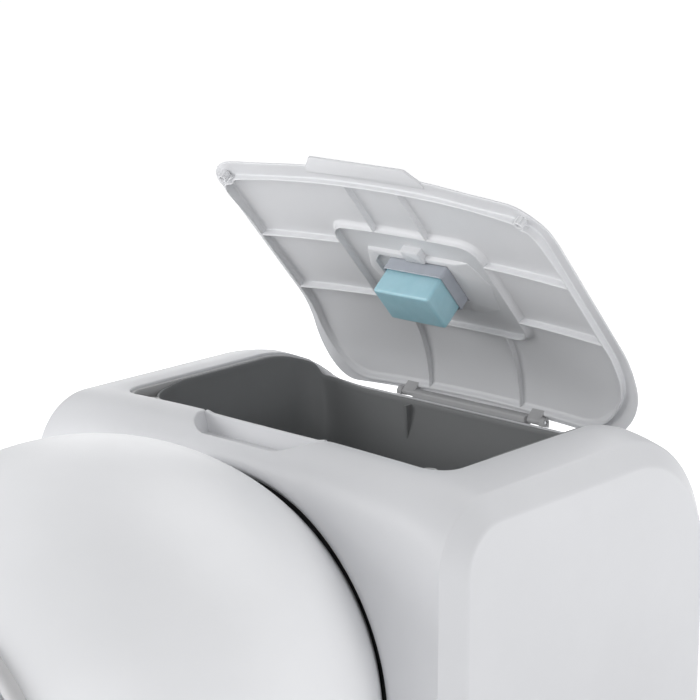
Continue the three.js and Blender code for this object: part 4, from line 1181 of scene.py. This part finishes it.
def moulded(name, colour, roughness, grain=0.00003):
    """Moulded plastic: fine spark-eroded grain, faint flow variation, slightly polished and lighter edges."""
    n = Nodes(name)
    dark = tuple(c * 0.98 for c in colour)
    light = tuple(min(c * 1.012, 1.0) for c in colour)
    flow = n.mix(n.spread(n.noise(7.0, 4.0), 0.35, 0.65, 0, 1), dark, light)
    worn = tuple(min(c * 1.06 + 0.01, 1.0) for c in colour)
    n.link(n.mix(n.spread(n.edges(), 0, 1, 0, 0.45), flow, worn), n.shader.inputs["Base Color"])
    gloss = n.spread(n.noise(60.0), 0.3, 0.7, roughness - 0.03, roughness + 0.04)
    n.link(gloss, n.shader.inputs["Roughness"])
    coarse = n.bump(n.noise(420.0, 2.0), 0.25, grain * 2)
    n.link(n.bump(n.noise(1500.0, 2.0), 0.5, grain, coarse), n.shader.inputs["Normal"])
    return n.material


def gel_material():
    n = Nodes("teal_gel")
    n.surface((60.0,), ((0.36, 0.60, 0.68), (0.41, 0.65, 0.73)),
              (110.0,), (0.28, 0.40), (900.0, 2.0), 0.35, 0.00003)
    n.shader.inputs["Subsurface Weight"].default_value = 0.25
    n.shader.inputs["Subsurface Radius"].default_value = (0.4, 0.9, 1.0)
    n.shader.inputs["Subsurface Scale"].default_value = 0.004
    return n.material


def clear_material():
    n = Nodes("smoky_clear_plastic")
    n.surface((30.0,), ((0.50, 0.53, 0.59), (0.58, 0.61, 0.67)),
              (90.0,), (0.08, 0.18), (700.0, 2.0), 0.2, 0.00002)
    n.shader.inputs["Transmission Weight"].default_value = 0.30
    n.shader.inputs["IOR"].default_value = 1.46
    return n.material


def metal_material():
    n = Nodes("machined_steel")
    n.shader.inputs["Metallic"].default_value = 1.0
    n.surface((40.0,), ((0.42, 0.43, 0.45), (0.56, 0.57, 0.58)),
              (300.0,), (0.24, 0.40), (1200.0, 2.0), 0.3, 0.00003)
    return n.material


def board_material():
    n = Nodes("circuit_board")
    tracks = n.new("ShaderNodeTexVoronoi", feature="DISTANCE_TO_EDGE")
    tracks.inputs["Scale"].default_value = 140.0
    n.link(n.place(), tracks.inputs["Vector"])
    line = n.spread(tracks.outputs["Distance"], 0.02, 0.06, 1, 0)
    n.link(n.mix(line, (0.015, 0.10, 0.05), (0.10, 0.26, 0.12)), n.shader.inputs["Base Color"])
    n.link(n.spread(n.noise(200.0), 0.3, 0.7, 0.35, 0.5), n.shader.inputs["Roughness"])
    n.link(n.bump(line, 0.4, 0.00005), n.shader.inputs["Normal"])
    return n.material


def rubber(name, colour):
    n = Nodes(name)
    lighter = tuple(c * 1.35 for c in colour)
    blotch = n.spread(n.noise(45.0, 5.0), 0.35, 0.65, 0, 1)
    n.link(n.mix(blotch, colour, lighter), n.shader.inputs["Base Color"])
    n.link(n.spread(n.noise(80.0), 0.3, 0.7, 0.72, 0.88), n.shader.inputs["Roughness"])
    n.link(n.bump(n.noise(1100.0, 3.0), 0.6, 0.00005), n.shader.inputs["Normal"])
    return n.material


def screen_material():
    n = Nodes("dark_window")
    n.surface((25.0,), ((0.010, 0.012, 0.014), (0.018, 0.020, 0.022)),
              (60.0,), (0.06, 0.12), (300.0,), 0.1, 0.00001)
    n.shader.inputs["Coat Weight"].default_value = 0.6
    return n.material


# ---------- carried-over CAD nodes ----------
def soften(node, width):
    """Small round edges on a CAD node that is kept."""
    piece = frame["nodes"][node]
    merge = piece.modifiers.new("merge", "WELD")
    merge.merge_threshold = 1e-5
    flat = piece.modifiers.new("flat", "DECIMATE")
    flat.decimate_type = "DISSOLVE"
    flat.angle_limit = math.radians(1.5)
    rounded = piece.modifiers.new("edges", "BEVEL")
    rounded.width = width
    rounded.segments = 3
    rounded.limit_method = "ANGLE"
    rounded.angle_limit = math.radians(32)
    rounded.harden_normals = False
    piece.data.shade_smooth()
    smooth = piece.modifiers.new("normals", "WEIGHTED_NORMAL")
    smooth.keep_sharp = False
    return piece


def finish_cad_nodes(looks):
    """Rounds the edges of the CAD nodes that stay, and gives each its material."""
    sides = ("left", "right")
    corners = [f"{row}_{side}" for row in ("front", "rear") for side in sides]
    plan = {
        "hinge": [f"hinge_lug_{side}" for side in sides],
        "grey": ["bin_shelf", "drum_rear_plate", "vent_grille", "button_1", "button_2", "button_3"]
                + [f"axle_bracket_{corner}" for corner in corners] + [f"rest_boss_{side}" for side in sides],
        "dark": ["ring_gear", "gear_motor", "socket_ring", "control_bezel", "fan_frame", "fan_rotor",
                 "power_inlet", "board_box", "chute"],
        "rubber": ["seal_ring", "step_mat", "odour_flap"] + [f"roller_{corner}" for corner in corners],
        "steel": ["pinion"] + [f"{part}_{side}" for part in ("hinge_pin", "roller_axle") for side in sides]
                 + [f"load_cell_{corner}" for corner in corners],
        "board": ["main_board"],
        "screen": ["display_window"],
    }
    for look, nodes in plan.items():
        for node in nodes:
            piece = soften(node, 0.0004)
            piece.data.materials.clear()
            piece.data.materials.append(looks[look])


# ---------- studio ----------
FLOOR_GLOW = 0.81
WORLD_GLOW = 0.275
LIGHTS = {
    # name: (place, aim, size x, size y, power)
    "over_rear": ((0.2, 1.5, 2.4), (0.0, 0.1, 0.45), 2.2, 1.6, 27.5),
    "over_left": ((-1.7, 0.2, 2.2), (0.0, 0.1, 0.45), 1.4, 1.8, 5.0),
    "left_rear": ((-1.8, 2.0, 1.2), (-0.2, 0.1, 0.4), 1.6, 1.6, 11.0),
    "right_rear": ((2.0, 1.7, 1.0), (0.2, 0.1, 0.40), 1.6, 1.6, 9.0),
    "front_left": ((-1.8, -2.3, 1.5), (0.0, 0.0, 0.45), 1.8, 1.6, 42.0),
    "front_right": ((2.0, -2.0, 1.6), (0.0, 0.0, 0.45), 1.8, 1.6, 21.0),
    "low_front": ((-0.5, -2.2, 0.35), (0.0, 0.0, 0.55), 2.0, 0.5, 3.4),
}


def add_light(name, place, aim, width, height, power):
    data = bpy.data.lights.new(name, "AREA")
    data.shape = "RECTANGLE"
    data.size, data.size_y = width, height
    data.energy = power
    lamp = bpy.data.objects.new(name, data)
    bpy.context.scene.collection.objects.link(lamp)
    lamp.location = place
    lamp.rotation_euler = (Vector(aim) - Vector(place)).to_track_quat("-Z", "Y").to_euler()
    return lamp


def make_floor():
    half = 14.0
    mesh = bpy.data.meshes.new("floor")
    corners = [(-half, -half, 0), (half, -half, 0), (half, half, 0), (-half, half, 0)]
    mesh.from_pydata(corners, [], [(0, 1, 2, 3)])
    floor = bpy.data.objects.new("floor", mesh)
    bpy.context.scene.collection.objects.link(floor)
    n = Nodes("pale_floor")
    n.shader.inputs["Base Color"].default_value = (0.86, 0.86, 0.87, 1)
    n.shader.inputs["Roughness"].default_value = 0.9
    n.shader.inputs["Emission Color"].default_value = (1, 1, 1, 1)
    distance = n.new("ShaderNodeVectorMath", operation="LENGTH")
    n.link(n.place(), distance.inputs[0])
    glow = n.spread(distance.outputs["Value"], 0.75, 1.5, FLOOR_GLOW * 0.25, FLOOR_GLOW)
    n.link(glow, n.shader.inputs["Emission Strength"])
    mesh.materials.append(n.material)


def make_studio():
    make_floor()
    for name, spec in LIGHTS.items():
        add_light(name, *spec)
    world = bpy.data.worlds.new("studio")
    world.use_nodes = True
    back = world.node_tree.nodes["Background"]
    back.inputs["Color"].default_value = (0.97, 0.98, 1.0, 1)
    back.inputs["Strength"].default_value = WORLD_GLOW
    bpy.context.scene.world = world
    view = bpy.context.scene.view_settings
    view.view_transform = "Standard"
    view.look = "None"


def make_camera():
    data = bpy.data.cameras.new("camera")
    data.sensor_width = 36.0
    data.lens = 115.32
    data.clip_start, data.clip_end = 0.05, 60.0
    camera = bpy.data.objects.new("camera", data)
    bpy.context.scene.collection.objects.link(camera)
    camera.location = (1.35326, -1.33826, 1.09472)
    camera.rotation_euler = (math.radians(90 - 14.028), 0, math.radians(42.113))
    bpy.context.scene.camera = camera


# ---------- build ----------
make_camera()
make_studio()
WHITE = (0.70, 0.705, 0.722)
LOOKS = {
    "white": moulded("white_abs", WHITE, 0.42),
    # painted light: the drum is the same white plastic made lighter, standing in for light falling on its
    # upper left
    "drum": moulded("white_abs_painted_light_drum", (0.845, 0.85, 0.865), 0.42),
    # painted shade: the lid is the same white plastic made a little darker, standing in for the shade in its
    # ribbed underside
    "lid": moulded("white_abs_painted_shade_lid", (0.68, 0.685, 0.70), 0.45),
    "grey": moulded("grey_abs", (0.52, 0.52, 0.525), 0.50),
    "hinge": moulded("grey_hinge", (0.40, 0.40, 0.405), 0.50),
    "bin": moulded("bin_polypropylene", (0.205, 0.210, 0.213), 0.55, grain=0.00006),
    "dark": moulded("dark_polymer", (0.030, 0.032, 0.033), 0.5),
    "gel": gel_material(),
    "clear": clear_material(),
    "steel": metal_material(),
    "rubber": rubber("black_rubber", (0.030, 0.031, 0.033)),
    "board": board_material(),
    "screen": screen_material(),
}
finish_cad_nodes(LOOKS)
make_tower(LOOKS["white"])
make_opening_frame(LOOKS["grey"])
make_hinge_cover(LOOKS["hinge"])
make_bin(LOOKS["bin"])
make_gusset(LOOKS["bin"])
# painted shade: near-black blocks stand in for the shade inside the hinge slots
make_slot_shade_blocks(LOOKS["dark"])
make_lid(LOOKS["lid"])
make_knuckles(LOOKS["hinge"])
make_lid_posts(LOOKS["lid"])
make_holder(LOOKS["lid"])
make_latch(LOOKS["lid"])
make_tray(LOOKS["clear"])
make_gel(LOOKS["gel"])
make_drum(LOOKS["drum"])
make_entrance(LOOKS["grey"])
make_cradle(LOOKS["white"])
make_base(LOOKS["grey"])
make_feet(LOOKS["rubber"])
